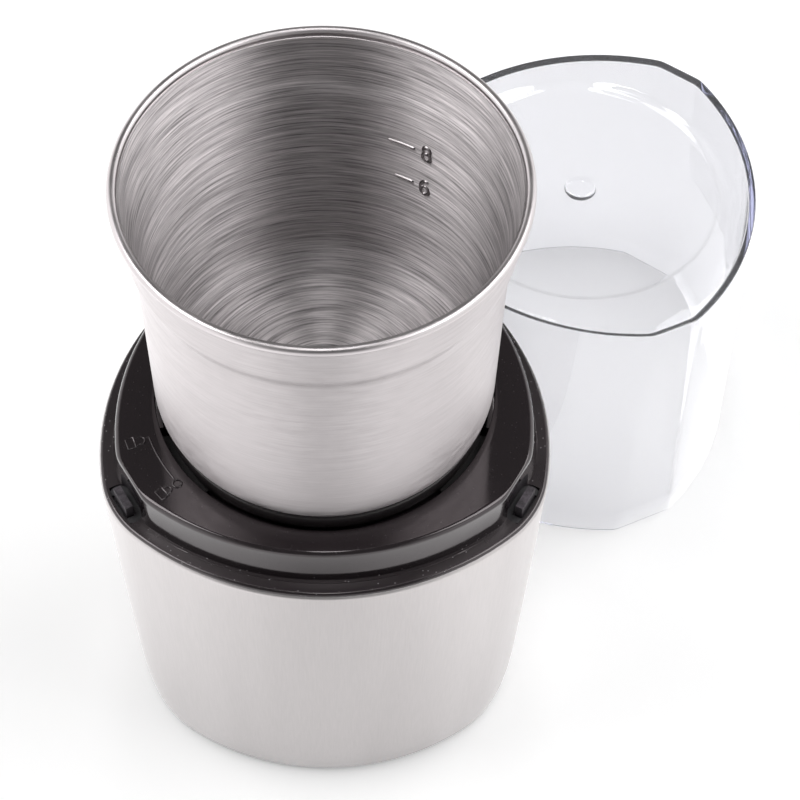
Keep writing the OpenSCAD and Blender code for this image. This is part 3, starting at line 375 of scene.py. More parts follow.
def slot_finishes(sizes, colours):
    """One finish for each material slot of the part."""
    return {
        "sleeve_steel": brushed_sleeve_steel(sizes, colours),
        "cup_steel": spun_cup_steel(sizes, colours),
        "blade_steel": ground_blade_steel(colours),
        "deck_black": glossy_deck_abs(colours),
        "foot_black": etched_plastic("ABS_Moulded_Etched_Black", "#171113", 0.4, 0.5),
        "frame_plastic": etched_plastic("Nylon_Glass_Filled_Moulded", "#2A2A2D", 0.6, 0.55),
        "boot_rubber": actuator_rubber(colours),
        "black_rubber": etched_plastic("Rubber_Nitrile_Moulded", "#232124", 0.5, 0.62),
        "screw_zinc": turned_metal("Steel_Zinc_Plated", "#B9BCC2", 0.32),
        "spring_steel": turned_metal("Spring_Wire_Bright", "#A9ABB0", 0.26, 0.3),
        "nylon": etched_plastic("Nylon_Moulded_Natural", "#DCD6C6", 0.5, 0.45),
        "core_iron": stacked_core_iron(),
        "winding_copper": wound_copper(colours),
        "wire_sleeve": etched_plastic("Silicone_Wire_Sleeve", "#7A1F1A", 0.5, 0.5),
        "bracket_aluminium": turned_metal("Aluminium_Die_Cast", "#B4B5B8", 0.42, 0.5),
        "bronze": turned_metal("Bronze_Sintered", "#A98452", 0.4, 0.25),
        "carbon": etched_plastic("Carbon_Pressed", "#202022", 0.2, 0.6),
        "shaft_steel": turned_metal("Shaft_Steel_Ground", "#BFC0C3", 0.2, 0.3),
        "clear_plastic": clear_lid_plastic(colours),
    }


def finish(slot):
    """The material made for a slot of the part."""
    return bpy.data.materials[bpy.context.scene["chopper_finish_" + slot]]


# Mesh making

def cosd(degrees):
    return math.cos(math.radians(degrees))


def sind(degrees):
    return math.sin(math.radians(degrees))


def around(r, degrees, z):
    """A point from its distance to the axis, direction and height."""
    return r * cosd(degrees), r * sind(degrees), z


def turned(points, degrees, shift=(0, 0)):
    """Points turned round the upright axis and then moved."""
    c, s = cosd(degrees), sind(degrees)
    return [(shift[0] + x * c - y * s, shift[1] + x * s + y * c, z) for x, y, z in points]


def polar(reach, z, turns):
    """One level of a loft. reach: distance from the axis for an angle's offset from its side's middle."""
    return [around(reach(off), side + off, z(off) if callable(z) else z) for side, off in turns]


def loft(levels, closed=False):
    """Faces between levels of as many points each. The last level joins the first, or else both ends are capped."""
    n, m = len(levels[0]), len(levels)
    points = [p for level in levels for p in level]
    faces = [(k * n + j, k * n + (j + 1) % n, (k + 1) % m * n + (j + 1) % n, (k + 1) % m * n + j)
             for k in range(m if closed else m - 1) for j in range(n)]
    if not closed:
        faces += [tuple(range(n - 1, -1, -1)), tuple(range((m - 1) * n, m * n))]
    return points, faces


def lathe(profile, steps):
    """A turned form from a closed line of (radius, height) points."""
    return loft([[(r * math.cos(2 * math.pi * j / steps), r * math.sin(2 * math.pi * j / steps), z)
                  for j in range(steps)] for r, z in profile], True)


def arc(cx, cz, radius, start, end, steps, rise=None):
    """Points (radius, height) on an arc, angles in degrees. rise: its other half axis, where it isn't round."""
    rise = radius if rise is None else rise
    turns = [start + (end - start) * i / steps for i in range(steps + 1)]
    return [(cx + radius * cosd(a), cz + rise * sind(a)) for a in turns]


def eased(points, radius):
    """Rounds the bends of an open line of (radius, height) points."""
    out, steps = [points[0]], 4
    for before, here, after in zip(points, points[1:], points[2:]):
        a, b, c = Vector(before), Vector(here), Vector(after)
        trim = min(radius, (a - b).length * 0.45, (c - b).length * 0.45)
        start, end = b + (a - b).normalized() * trim, b + (c - b).normalized() * trim
        for i in range(steps + 1):
            t = i / steps
            out.append(tuple(start * (1 - t) ** 2 + b * 2 * t * (1 - t) + end * t * t))
    return out + [points[-1]]


def joined(*parts):
    """Several (points, faces) as one."""
    points, faces = [], []
    for more_points, more_faces in parts:
        faces += [tuple(i + len(points) for i in face) for face in more_faces]
        points += more_points
    return points, faces


def bead(path, width, height, lift):
    """A raised half-round line. path: points, lift: for each point the direction it stands up in."""
    path = [Vector(p) for p in path]
    # It starts a little inside the surface and draws in at both ends
    sunk, levels = 0.1, []
    for i, p in enumerate(path):
        ahead = path[min(i + 1, len(path) - 1)] - path[max(i - 1, 0)]
        up = Vector(lift(p)).normalized()
        across = ahead.cross(up).normalized()
        shrink = 0.55 if i in (0, len(path) - 1) else 1.0
        levels.append([tuple(p + across * (width / 2 * shrink * cosd(a)) + up * (height * shrink * sind(a) - sunk))
                       for a in range(0, 181, 30)])
    return loft(levels)


def make_mesh(name, points, faces, crease):
    """A mesh from millimetres, its faces turned outwards and its edges sharp above the crease angle."""
    mesh = bpy.data.meshes.new(name)
    mesh.from_pydata([tuple(c * MM for c in p) for p in points], [], faces)
    form = bmesh.new()
    form.from_mesh(mesh)
    bmesh.ops.recalc_face_normals(form, faces=form.faces)
    if form.calc_volume(signed=True) < 0:
        bmesh.ops.reverse_faces(form, faces=form.faces)
    form.to_mesh(mesh)
    form.free()
    mesh.shade_smooth()
    mesh.set_sharp_from_angle(angle=math.radians(crease))
    return mesh


def placed(name, data):
    """A new object of the scene for a mesh, lamp or camera."""
    thing = bpy.data.objects.new(name, data)
    bpy.context.scene.collection.objects.link(thing)
    return thing


def add_piece(name, body, slot, shape, replaces, crease=32, more_finishes=()):
    """Makes a piece from (points, faces), gives it its finishes and fixes it to its body."""
    piece = placed(name, make_mesh(name, *shape, crease))
    for finish_name in (slot, *more_finishes):
        piece.data.materials.append(finish(finish_name))
    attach(piece, body)
    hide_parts(*replaces)
    return piece


def cut(piece, shape, crease=32, finish_index=0):
    """Cuts a form out of a piece and keeps the result as its mesh. The cut faces take the numbered finish.
    The piece's own surfaces pass close to each other, so the cut has to allow for a mesh that may meet itself."""
    tool = placed("cutter", make_mesh("cutter", *shape, 30))
    for face in tool.data.polygons:
        face.material_index = finish_index
    step = piece.modifiers.new("cut", "BOOLEAN")
    step.operation, step.solver, step.object = "DIFFERENCE", "EXACT", tool
    step.use_self = True
    result = bpy.data.meshes.new_from_object(piece.evaluated_get(bpy.context.evaluated_depsgraph_get()))
    piece.modifiers.clear()
    piece.data = result
    bpy.data.objects.remove(tool)
    result.shade_smooth()
    result.set_sharp_from_angle(angle=math.radians(crease))


def add_islands(piece, shape, crease, finish_index=0):
    """Adds loose raised forms to a piece's mesh. Their faces take the numbered finish."""
    extra = make_mesh("extra", *shape, crease)
    for face in extra.polygons:
        face.material_index = finish_index
    form = bmesh.new()
    form.from_mesh(piece.data)
    form.from_mesh(extra)
    form.to_mesh(piece.data)
    form.free()
    bpy.data.meshes.remove(extra)


# Outlines

def arc_reach(off, side, back):
    """Distance from the axis to a side that bulges with its centre set back behind the axis."""
    t = math.radians(off)
    return math.sqrt((side + back) ** 2 - (back * math.sin(t)) ** 2) - back * math.cos(t)


def round_reach(shape, inset=0.0):
    """Reach of a three-sided outline with round corners. shape: side, corner centre, corner radius."""
    side, c, r = shape[0] - inset, shape[1], shape[2] - inset
    big = (c * side - c * c - side * side + r * r) / (c - 2 * side + 2 * r)
    back = big - side
    half = math.atan2(c * math.sin(math.pi / 3), c * math.cos(math.pi / 3) + back)
    limit = math.degrees(math.atan2(big * math.sin(half), big * math.cos(half) - back))

    def reach(off):
        if abs(off) <= limit:
            return arc_reach(off, side, back)
        b = math.radians(60 - abs(off))
        return c * math.cos(b) + math.sqrt(r * r - (c * math.sin(b)) ** 2)
    return reach


def cornered_reach(side, flat, back, soft=220):
    """Reach of a bulging three-sided outline with cut-off corners, whose meeting edges are slightly soft."""
    def reach(off):
        b, f = arc_reach(off, side, back), flat / cosd(60 - abs(off))
        low = min(b, f)
        return low * ((low / b) ** soft + (low / f) ** soft) ** (-1 / soft)
    return reach


# The points of an outline are closest where its sides meet its cut-off corners
EDGE_OFFSETS = [49, 49.8, 50.4, 50.9, 51.3, 51.7, 52.1, 52.5, 52.9, 53.3, 53.7, 54.1, 54.6, 55.3, 56.2, 58]
OFFSETS = sorted([-a for a in EDGE_OFFSETS] + list(range(-48, 49, 4)) + EDGE_OFFSETS + [60])
TURNS = [(side, off) for side in SIDES for off in OFFSETS]


def disc_at(r, z):
    """A round level with as many points as the three-sided ones."""
    return polar(lambda off: r, z, TURNS)


# Pieces

def sleeve_shape(t):
    """The sleeve narrows steadily towards the table and then curls under."""
    u = 1 - t
    s = 0.74 * u + 0.26 * u ** 12
    return [high + (low - high) * s for high, low in zip(SLEEVE_HIGH, SLEEVE_LOW)]


class CHOPPER_OT_sleeve(bpy.types.Operator):
    """Build the three-sided steel sleeve, with a rolled top edge and a hole for the lead"""
    bl_idname = "chopper.sleeve"
    bl_label = "Steel sleeve"

    def execute(self, context):
        low, high = SLEEVE_Z
        turns = [(side, off) for side in SIDES for off in range(-57, 61, 3)]
        steps = [0, 0.006, 0.015, 0.028, 0.045, 0.07, 0.1, 0.14, 0.2, 0.28, 0.38, 0.5, 0.65, 0.82, 1]

        def level(t, inset):
            return polar(round_reach(sleeve_shape(t), inset), low + (high - low) * t, turns)

        def rolled(inset, wide, tall, angles):
            return [polar(round_reach(SLEEVE_HIGH, inset + wide * (1 - cosd(a))), high + tall * sind(a), turns)
                    for a in angles]
        hem = [polar(round_reach(sleeve_shape(0), inset), low - 0.15, turns) for inset in (0.25, SHEET - 0.25)]
        levels = [hem[0]] + [level(t, 0) for t in steps]
        levels += rolled(0, 1.08, 1.2, (18, 36, 54, 72, 90)) + rolled(SHEET, 0.6, 0.4, (90, 45))
        levels += [level(t, SHEET) for t in reversed(steps)] + [hem[1]]
        piece = add_piece("steel_sleeve_skin", "base", "sleeve_steel", loft(levels, True), ["steel_sleeve"])
        hole = arc(0, GLAND_Z, GLAND_R, 0, 351, 39)
        cut(piece, loft([[(x, y, z) for x, z in hole] for y in (44, 64)]))
        return {"FINISHED"}


def pocket_form(angle):
    """The pocket round an actuator: round ends, an outer side that follows the lip, and an arched top."""
    back, half, r = 54.0, 6.0, 2.5
    levels = []
    for y in (-6, -5.8, -5.4, -4.6, -3.5, -1.8, 0, 1.8, 3.5, 4.6, 5.4, 5.8, 6):
        near = back + r - math.sqrt(r * r - max(0.0, abs(y) - half + r) ** 2)
        far = LIP[1] + math.sqrt((LIP[2] - 1.4) ** 2 - y * y)
        low, high = LIP_H - 1.3, PLATEAU_Z - 3.1 - 0.085 * y * y
        levels.append(turned([(near, y, low), (far, y, low), (far, y, high), (near, y, high)], angle))
    return loft(levels)


def on_deck(angle, points):
    """Points of a sign that stands on the deck's corner, its top towards the cup. Millimetres from its middle."""
    return turned([(SIGN_R - y, x, PLATEAU_Z) for x, y in points], angle)


def padlock(angle, shackle_up):
    """Lines of a padlock sign: a rounded body and a shackle that is shut or lifted."""
    body = [(-1.5, -1.5), (-1.5, 0.5), (1.5, 0.5), (1.5, -1.5), (-1.5, -1.5)]
    top = 0.5 + shackle_up
    loop = [(-1.0, top - 0.3 if shackle_up else 0.5)] + arc(0, top + 0.7, -1.0, 0, 180, 9, 1.0) + [(1.0, 0.5)]
    return [on_deck(angle, body), on_deck(angle, loop)]


def bayonet_ledge(corner):
    """A ledge in the recess that a lug of the cup turns under, thin at both ends."""
    steps, first, sweep = 24, corner + 17, 86
    section = [(42.9, 0), (40.2, 0), (39.95, 0.2), (39.9, 0.6), (39.9, 1.3), (40.05, 1.65), (40.4, 1.8), (42.9, 1.8)]
    levels = []
    for i in range(steps + 1):
        ramp = 1 - 0.2 * max(0, 4 - min(i, steps - i))
        levels.append([around(r, first + sweep * i / steps, LEDGE_Z + up * ramp) for r, up in section])
    return loft(levels)


def turn_marks():
    """Lines of the signs on the deck: an arc with a stop and a dot, an open padlock and a shut one."""
    dot = arc(46.1 * cosd(219.6), 46.1 * sind(219.6), 1.1, 40, 400, 15)
    lines = [[around(MARK_R, a, PLATEAU_Z) for a in range(200, 219)],
             [around(r, 200, PLATEAU_Z) for r in (MARK_R, 47.3)], [(x, y, PLATEAU_Z) for x, y in dot]]
    return lines + padlock(200.5, 0.9) + padlock(219.5, 0.0)


class CHOPPER_OT_deck(bpy.types.Operator):
    """Build the glossy deck: lip, mould line, upright wall, rounded edge, recess, ledges, pockets and marks"""
    bl_idname = "chopper.deck"
    bl_label = "Deck"

    def execute(self, context):
        sizes = context.scene.chopper_sizes
        edge, draft, ridge = sizes.deck_round / MM, sizes.wall_draft / MM, sizes.mould_line / MM
        lip, rise = sizes.lip_round / MM, sizes.mark_h / MM
        # How far the wall stands outside the plateau's outline, and the round at the recess
        out, ease = 0.45, 0.3

        def ridge_z(off):
            # The mould line runs along each side and sinks away before the corner
            return LIP_H + ridge * min(1.0, max(0.0, (41 - abs(off)) / 1.5))

        def lip_at(inset, z):
            return polar(round_reach(LIP, inset), z, TURNS)

        def wall_at(grow, z):
            return polar(cornered_reach(PLATEAU_SIDE + grow, PLATEAU_FLAT + grow * 0.35, PLATEAU_BACK), z, TURNS)
        levels = [lip_at(1.7, SKIRT_Z), lip_at(1.7, LIP_UNDER), lip_at(1.25, LIP_UNDER), lip_at(1.25, LIP_LOW),
                  lip_at(0.3, LIP_LOW), lip_at(0.08, LIP_LOW + 0.04), lip_at(0, LIP_LOW + 0.14), lip_at(0, LIP_H - lip)]
        levels += [lip_at(lip - lip * cosd(a), LIP_H - lip + lip * sind(a)) for a in (22, 45, 68, 90)]
        levels += [lip_at(lip + 0.15, LIP_H), lip_at(2.9, LIP_H), lip_at(3.2, LIP_H), lip_at(3.28, ridge_z),
                   lip_at(3.34, ridge_z), lip_at(3.42, LIP_H)]
        levels += [wall_at(draft + out, LIP_H), wall_at(draft + out - 0.12, LIP_H + 0.2),
                   wall_at(out, PLATEAU_Z - edge - 0.2)]
        levels += [wall_at(out - edge + edge * cosd(a), PLATEAU_Z - edge + edge * sind(a))
                   for a in range(0, 91, 15)]
        levels += [wall_at(out - edge - 0.2, PLATEAU_Z), disc_at(44.4, PLATEAU_Z),
                   disc_at(RECESS_R + ease, PLATEAU_Z)]
        levels += [disc_at(RECESS_R + ease - ease * sind(a), PLATEAU_Z - ease + ease * cosd(a)) for a in (30, 60, 90)]
        levels += [disc_at(RECESS_R, RECESS_Z + 0.6), disc_at(RECESS_R - 0.18, RECESS_Z + 0.18),
                   disc_at(RECESS_R - 0.6, RECESS_Z), disc_at(WELL_R + 0.6, RECESS_Z),
                   disc_at(WELL_R + 0.15, RECESS_Z - 0.15), disc_at(WELL_R, RECESS_Z - 0.6),
                   disc_at(WELL_R, WELL_Z[1]), disc_at(WELL_BORE, WELL_Z[1]), disc_at(WELL_BORE, WELL_Z[0]),
                   disc_at(WELL_OUT, WELL_Z[0]), disc_at(WELL_OUT, RECESS_UNDER), disc_at(RECESS_OUT, RECESS_UNDER),
                   disc_at(RECESS_OUT, PLATEAU_UNDER), wall_at(-2, PLATEAU_UNDER), wall_at(-2, LIP_UNDER),
                   lip_at(3.1, LIP_UNDER), lip_at(3.1, SKIRT_Z)]
        piece = add_piece("deck_moulding", "base", "deck_black", loft(levels, True), ["deck"], 28, ["boot_rubber"])
        for angle in CORNERS[1:]:
            cut(piece, pocket_form(angle), 28, 1)
        ledges = [bayonet_ledge(corner) for corner in CORNERS]
        marks = [bead(line, 0.6, rise + 0.1, lambda p: (0, 0, 1)) for line in turn_marks()]
        add_islands(piece, joined(*ledges, *marks), 40)
        return {"FINISHED"}


def cup_profiles():
    """Outside, rolled rim and inside of the cup as (radius, height) points."""
    foot, z, shoulder, neck = CUP_FOOT, PLATEAU_Z, 174.5, 197.25
    outside = [(CUP_BORE, z), (20, z)] + arc(CUP_LOW_R - foot, z + foot, foot, -90, 0, 14)
    outside += [(CUP_MID_R, CUP_MID_Z), (43.15, shoulder)]
    outside += eased([(43.15, shoulder), (43.6, 181.2), (45, 184), (45.68, neck)], 1.6)[1:]
    rim = arc(RIM_R - BEAD, RIM_Z - BEAD, BEAD, -125, 205, 26)
    inside = eased([(44.88, neck), (44.2, 184.2), (42.8, 181.4), (42.35, shoulder)], 1.6)
    inside += [(CUP_MID_R - CUP_WALL, CUP_MID_Z)]
    inside += arc(CUP_LOW_R - foot, z + foot, foot - CUP_WALL, 0, -90, 14)
    inside += [(20, z + CUP_WALL), (CUP_BORE, z + CUP_WALL)]
    return outside, rim, inside


def wall_reach(z):
    """Radius of the cup's inner wall at a height between its foot and its shoulder."""
    low = PLATEAU_Z + CUP_FOOT
    return CUP_LOW_R + (CUP_MID_R - CUP_LOW_R) * (z - low) / (CUP_MID_Z - low) - CUP_WALL


def on_wall(azimuth, z, points):
    """Points in millimetres, read from inside, as places on the cup's inner wall."""
    spots = [(wall_reach(z + y), x, z + y) for x, y in points]
    return [around(r, azimuth - math.degrees(x / r), h) for r, x, h in spots]


def numeral(digit, height):
    """Strokes of a numeral, six or eight, that stands on its base line."""
    r = height * 0.26
    # Each stroke's middle, half width and half height, and the angles it runs between
    if digit == 8:
        rings = [(0, 0.27, r, 0.27, -90, 270), (0, 0.76, r * 0.84, 0.24, -90, 270)]
    else:
        rings = [(0, 0.29, r, 0.29, 110, 470), (r * 0.55, 0.5, r * 1.6, 0.5, 80, 195)]
    return [arc(x, height * y, wide, start, end, max(8, abs(end - start) // 18), height * tall)
            for x, y, wide, tall, start, end in rings]


class CHOPPER_OT_cup(bpy.types.Operator):
    """Build the spun steel cup with its rolled rim, level lines and numerals"""
    bl_idname = "chopper.cup"
    bl_label = "Cup"

    def execute(self, context):
        sizes = context.scene.chopper_sizes
        outside, rim, inside = cup_profiles()
        steps = 192
        piece = add_piece("cup_spun_shell", "cup", "cup_steel", lathe(outside + rim + inside, steps), ["cup_shell"],
                          40, ["cup_inside", "cup_rim"])
        low, high = len(outside) - 1, len(outside) + len(rim) - 1
        for face in piece.data.polygons:
            band = face.index // steps
            face.material_index = 0 if band < low else 2 if band <= high else 1
        height, lines = sizes.numeral_h / MM, []
        for digit, z, end in FILL_LINES:
            lines.append([around(wall_reach(z), a / 4, z) for a in range(int(FILL_START * 4), int(end * 4) + 1)])
            lines += [on_wall(NUMERAL_AT, z - height / 2, stroke) for stroke in numeral(digit, height)]
        marks = [bead(line, 0.9, 0.55, lambda p: (-p[0], -p[1], 0)) for line in lines]
        add_islands(piece, joined(*marks), 50, 2)
        return {"FINISHED"}


class CHOPPER_OT_blade(bpy.types.Operator):
    """Build the bent two-armed blade with its ground cutting edges"""
    bl_idname = "chopper.blade"
    bl_label = "Blade"

    def execute(self, context):
        # The front edge is straight and then follows a curve whose centre lies behind the hub
        curve_r, curve_x, curve_y = 29, -5, -10
        climb, bend_at, grind_at = math.tan(math.radians(14)), 9, 7
        stations = [0, 2, 4, 6, 8, 9, 10, 12, 15, 18, 21, 24, 26, 28, 29.5, 30.3]
        parts = []
        for sign in (1, -1):
            levels = []
            for x in stations:
                curve = math.sqrt(max(0.0, curve_r ** 2 - min(curve_r, x - curve_x) ** 2)) + curve_y
                tip = math.sqrt(max(0.01, BLADE_REACH ** 2 - x * x))
                back = -min(BLADE_HALF, tip)
                front = max(min(BLADE_HALF, curve, tip), back + 0.6)
                grind = min(1.0, max(0.0, (x - grind_at) / 3))
                edge, sharp = max(front - 2.6 * grind, back + 0.4), BLADE_T * (1 - 0.85 * grind)
                z = BLADE_Z + max(0.0, x - bend_at) * climb
                top = z + BLADE_T
                section = [(back, z + 0.12), (back + 0.15, z), (edge, z), (front - 0.02, z), (front, z + sharp * 0.5),
                           (front - 0.02, z + sharp), (edge, top), (back + 0.15, top), (back, top - 0.12)]
                levels.append([(sign * x, sign * y, h) for y, h in section])
            parts.append(loft(levels))
        add_piece("blade_ground", "blade_unit", "blade_steel", joined(*parts), ["blade"], 25)
        return {"FINISHED"}


class CHOPPER_OT_lid(bpy.types.Operator):
    """Build the clear lid: drafted wall, crisp top edge, sunken round top and the mark of the mould's gate"""
    bl_idname = "chopper.lid"
    bl_label = "Lid"

    def execute(self, context):
        sizes = context.scene.chopper_sizes
        edge, fillet = sizes.lid_round / MM, sizes.lid_fillet / MM

        def wall_at(z, inset):
            t = z / LID_H
            side = LID_LOW[0] + (LID_HIGH[0] - LID_LOW[0]) * t - inset
            flat = LID_LOW[1] + (LID_HIGH[1] - LID_LOW[1]) * t - inset
            return polar(cornered_reach(side, flat, LID_BACK, 300), z, TURNS)
        top, under, low = LID_H, LID_H - LID_TOP, LID_H - LID_TOP - fillet
        outer = [wall_at(0, 0.5), wall_at(0.12, 0.15), wall_at(0.45, 0)]
        outer += [wall_at(top * t, 0) for t in (0.1, 0.25, 0.4, 0.55, 0.7, 0.85)]
        outer += [[(x, y, top - edge + edge * sind(a)) for x, y, _ in wall_at(top - edge, edge - edge * cosd(a))]
                  for a in (0, 20, 40, 60, 75, 90)]
        step = [(DISH_R + 2.0 * (1 - i / 4), DISH_DEEP / 2 * (1 - math.cos(math.pi * i / 8))) for i in range(9)]
        dish = [disc_at(r, top - down) for r, down in step]
        dish += [disc_at(r, top - DISH_DEEP + up) for r, up in (
            (20, 0), (4.5, 0), (4.4, 0.3), (4.3, 0.7), (4.1, 1.0), (3.7, 1.18), (1.6, 1.2), (AXIS_DISC, 1.2))]
        inner = [disc_at(r, under - DISH_DEEP) for r in (AXIS_DISC, 20)]
        inner += [disc_at(r - 0.5, under - down) for r, down in reversed(step)]
        inner += [[(x, y, low + fillet * cosd(a)) for x, y, _ in wall_at(low, LID_WALL + fillet - fillet * sind(a))]
                  for a in (0, 30, 60, 90)]
        inner += [wall_at(top * t, LID_WALL) for t in (0.85, 0.7, 0.5, 0.3, 0.1)]
        inner += [wall_at(0.45, LID_WALL), wall_at(0.12, LID_WALL - 0.15), wall_at(0, LID_WALL - 0.5)]
        points, faces = loft(outer + dish + inner, True)
        # At the axis the top and the underside each end in a small disc, and aren't joined
        n, last = len(TURNS), len(outer) + len(dish) - 1
        faces = [f for f in faces if not last * n <= f[0] < (last + 1) * n]
        faces += [tuple(range(last * n, (last + 1) * n)), tuple(range((last + 2) * n - 1, (last + 1) * n - 1, -1))]
        points = turned(points, LID_TURN, LID_AT)
        add_piece("lid_clear_shell", "lid", "clear_plastic", (points, faces), ["lid"], 35)
        return {"FINISHED"}


class CHOPPER_OT_springs(bpy.types.Operator):
    """Build the two return springs, which stand on the motor frame"""
    bl_idname = "chopper.springs"
    bl_label = "Return springs"

    def execute(self, context):
        for side in ("left", "right"):
            node = frame["nodes"][f"return_spring_{side}"]
            spring = placed(f"spring_{side}", node.data.copy())
            spring.matrix_world = node.matrix_world.copy()
            spring.data.materials.clear()
            spring.data.materials.append(finish(CAD_SLOTS[node.name]))
            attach(spring, "base")
            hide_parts(node.name)
            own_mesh(spring)
        return {"FINISHED"}


# How far the sharp edges of these solids are broken, in millimetres
SOFT_EDGES = {
    "actuator_left": 0.45, "actuator_right": 0.45, "boot_left": 0.25, "boot_right": 0.25, "foot_ring": 0.3,
    "cord_gland": 0.4, "bottom_cover": 0.2, "cup_base": 0.25, "seat_ring": 0.2, "drive_coupling": 0.4,
    "cup_coupling": 0.4, "blade_nut": 0.3, "blade_washers": 0.15, "shaft_bush": 0.2, "terminal_block": 0.3,
    "upper_bracket": 0.3, "lower_bracket": 0.3, "motor_frame": 0.25, "microswitch_left": 0.2,
    "microswitch_right": 0.2, "brush_holders": 0.15, "field_coils": 0.9, "cooling_fan": 0.15,
}


class CHOPPER_OT_inner_parts(bpy.types.Operator):
    """Give every solid that shows as it is its own finish, and break the sharp edges of the moulded ones"""
    bl_idname = "chopper.inner_parts"
    bl_label = "Inner parts"

    def execute(self, context):
        for name, node in frame["nodes"].items():
            node.data.materials.clear()
            node.data.materials.append(finish(CAD_SLOTS[name]))
            if name in SOFT_EDGES:
                weld = node.modifiers.new("weld", "WELD")
                weld.merge_threshold = 0.02 * MM
                bevel = node.modifiers.new("soft_edges", "BEVEL")
                bevel.width, bevel.segments = SOFT_EDGES[name] * MM, 2
                bevel.limit_method, bevel.angle_limit = "ANGLE", math.radians(40)
                bevel.harden_normals = True
        return {"FINISHED"}


class CHOPPER_OT_finishes(bpy.types.Operator):
    """Make the finish of every material slot"""
    bl_idname = "chopper.finishes"
    bl_label = "Finishes"

    def execute(self, context):
        sizes, colours = context.scene.chopper_sizes, context.scene.chopper_colours
        made = slot_finishes(sizes, colours)
        made["cup_inside"] = ringed_cup_steel(sizes, colours)
        made["cup_rim"] = satin_rim_steel(colours)
        for slot, material in made.items():
            context.scene["chopper_finish_" + slot] = material.name
        return {"FINISHED"}


def studio_floor():
    """White sweep: plain matt paint that the lamps light, brought up to white for the eye.
    In reflections it is brighter than white, as an over-lit sweep is, and most so at its sides."""
    material, tree = new_material("Studio_Paper_White")
    path = put(tree, "ShaderNodeLightPath")
    spot = put(tree, "ShaderNodeNewGeometry")["Position"]
    # For the camera it glows more the further it lies from the base, where the lamps reach less
    far = put(tree, "ShaderNodeVectorMath", {0: spot}, operation="LENGTH")["Value"]
    seen = put(tree, "ShaderNodeMath", {0: path["Is Transmission Ray"], 1: 0.2}, operation="MULTIPLY")[0]
    seen = put(tree, "ShaderNodeMath", {
        0: path["Is Camera Ray"], 1: mapped(tree, (far, 0.33, 1.0, 0.3, 1.0)), 2: seen}, operation="MULTIPLY_ADD")[0]
    across = put(tree, "ShaderNodeSeparateXYZ", {0: spot})[0]
    aside = put(tree, "ShaderNodeMath", {0: across}, operation="ABSOLUTE")[0]
    level = put(tree, "ShaderNodeMath", {
        0: mapped(tree, (aside, 0.6, 1.3, 0.02, 0.12)), 1: mapped(tree, (across, 0.0, 0.5, 0.12, 0.2))},
        operation="SUBTRACT")[0]
    total = put(tree, "ShaderNodeMath", {0: seen, 1: mirrored_only(tree, path, level)}, operation="ADD")[0]
    lift = put(tree, "ShaderNodeEmission", {"Color": (1, 1, 1, 1), "Strength": total})[0]
    paper = put(tree, "ShaderNodeBsdfDiffuse", {"Color": (0.8, 0.8, 0.8, 1)})[0]
    both = put(tree, "ShaderNodeAddShader", {0: paper, 1: lift})[0]
    put(tree, "ShaderNodeOutputMaterial", {"Surface": both})
    return material


def studio_world():
    """White surroundings: plain white for the eye, and in reflections darker overhead than at the horizon."""
    world = bpy.data.worlds.new("Studio")
    world.use_nodes = True
    tree = world.node_tree
    tree.nodes.clear()
    path = put(tree, "ShaderNodeLightPath")
    way = put(tree, "ShaderNodeSeparateXYZ", {0: put(tree, "ShaderNodeTexCoord")["Generated"]})
    dim = put(tree, "ShaderNodeMapRange", {"Value": way[2], "From Min": 0.05, "From Max": 0.45,
                                           "To Min": 1.0, "To Max": 0.28}, interpolation_type="SMOOTHSTEP")[0]
    # In reflections the white sides of the studio are brighter than its front and back
    aside = put(tree, "ShaderNodeMath", {0: way[0]}, operation="ABSOLUTE")[0]
    dim = put(tree, "ShaderNodeMath", {0: dim, 1: 0.65, 2: mapped(tree, (aside, 0.0, 1.5, 0.35, 0.7))},
              operation="MULTIPLY_ADD")[0]
    plain = put(tree, "ShaderNodeMath", {0: path["Is Camera Ray"], 1: path["Is Transmission Ray"]},
                operation="MAXIMUM")[0]
    fill = put(tree, "ShaderNodeMath", {0: path["Is Glossy Ray"], 1: -0.2, 2: 0.2}, operation="MULTIPLY_ADD")[0]
    total = put(tree, "ShaderNodeMath", {0: mirrored_only(tree, path, dim), 1: fill}, operation="ADD")[0]
    total = put(tree, "ShaderNodeMath", {0: total, 1: plain}, operation="MAXIMUM")[0]
    back = put(tree, "ShaderNodeBackground", {"Color": (1, 1, 1, 1), "Strength": total})[0]
    put(tree, "ShaderNodeOutputWorld", {0: back})
    return world


def soft_lamp(name, place, aim, size, watts):
    data = bpy.data.lights.new(name, "AREA")
    data.shape, data.size, data.size_y, data.energy = "RECTANGLE", size[0], size[1], watts
    lamp = placed(name, data)
    lamp.location = place
    lamp.rotation_euler = (Vector(aim) - Vector(place)).to_track_quat("-Z", "Y").to_euler()


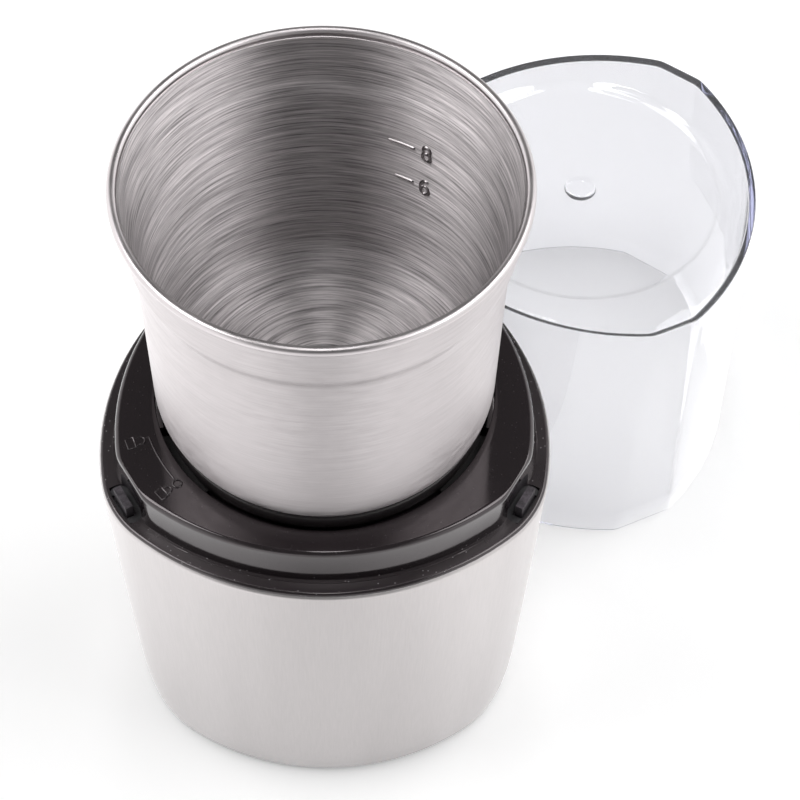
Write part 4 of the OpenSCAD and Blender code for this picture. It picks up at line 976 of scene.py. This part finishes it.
class CHOPPER_OT_stage(bpy.types.Operator):
    """Set up the floor, the lamps, the backdrop and the camera"""
    bl_idname = "chopper.stage"
    bl_label = "Stage"

    def execute(self, context):
        corners = [(x * FLOOR_HALF, y * FLOOR_HALF, 0) for x, y in ((-1, -1), (1, -1), (1, 1), (-1, 1))]
        floor = placed("floor", make_mesh("floor", corners, [(0, 1, 2, 3)], 30))
        floor.data.materials.append(studio_floor())
        context.scene.world = studio_world()

        soft_lamp("top", (0.0, 0.05, 1.3), (0, 0.05, 0.1), (0.12, 0.8), 2.2)
        soft_lamp("left", (-0.62, 0.05, 1.15), (0, 0, 0.1), (0.7, 0.5), 6.6)
        soft_lamp("right", (0.65, 0.05, 1.12), (0.03, 0.02, 0.1), (1.1, 0.5), 8.6)

        # The photograph's own view: long lens, steep look down, picture centre moved off the lens axis
        data = bpy.data.cameras.new("camera")
        data.sensor_width, data.lens = 36, FOCAL / PHOTO * 36
        data.shift_x, data.shift_y = [sign * (PHOTO / 2 - axis) / PHOTO for sign, axis in zip((1, -1), LENS_AXIS)]
        data.clip_start, data.clip_end = 0.01, 50
        camera = placed("camera", data)
        camera.location = [c * MM for c in CAMERA_AT]
        camera.rotation_euler = (math.radians(90 - CAMERA_DOWN), 0, 0)
        context.scene.camera = camera
        context.scene.view_settings.view_transform = "Standard"
        return {"FINISHED"}


class CHOPPER_PT_panel(bpy.types.Panel):
    """Sizes, colours and the steps that build the chopper"""
    bl_idname = "CHOPPER_PT_panel"
    bl_label = "Chopper"
    bl_space_type = "VIEW_3D"
    bl_region_type = "UI"
    bl_category = "Chopper"

    def draw(self, context):
        for group in (context.scene.chopper_sizes, context.scene.chopper_colours):
            column = self.layout.column()
            for name in group.__annotations__:
                column.prop(group, name)
        for step in STEPS:
            self.layout.operator(step.bl_idname)


STEPS = (CHOPPER_OT_finishes, CHOPPER_OT_sleeve, CHOPPER_OT_deck, CHOPPER_OT_cup, CHOPPER_OT_blade,
         CHOPPER_OT_lid, CHOPPER_OT_springs, CHOPPER_OT_inner_parts, CHOPPER_OT_stage)
CLASSES = (ChopperSizes, ChopperColours, *STEPS, CHOPPER_PT_panel)


def register():
    for cls in CLASSES:
        bpy.utils.register_class(cls)
    bpy.types.Scene.chopper_sizes = bpy.props.PointerProperty(type=ChopperSizes)
    bpy.types.Scene.chopper_colours = bpy.props.PointerProperty(type=ChopperColours)


def unregister():
    del bpy.types.Scene.chopper_colours
    del bpy.types.Scene.chopper_sizes
    for cls in reversed(CLASSES):
        bpy.utils.unregister_class(cls)


def main():
    register()
    bpy.ops.chopper.finishes()
    bpy.ops.chopper.sleeve()
    bpy.ops.chopper.deck()
    bpy.ops.chopper.cup()
    bpy.ops.chopper.blade()
    bpy.ops.chopper.lid()
    bpy.ops.chopper.springs()
    bpy.ops.chopper.inner_parts()
    bpy.ops.chopper.stage()


if __name__ == "__main__":
    main()
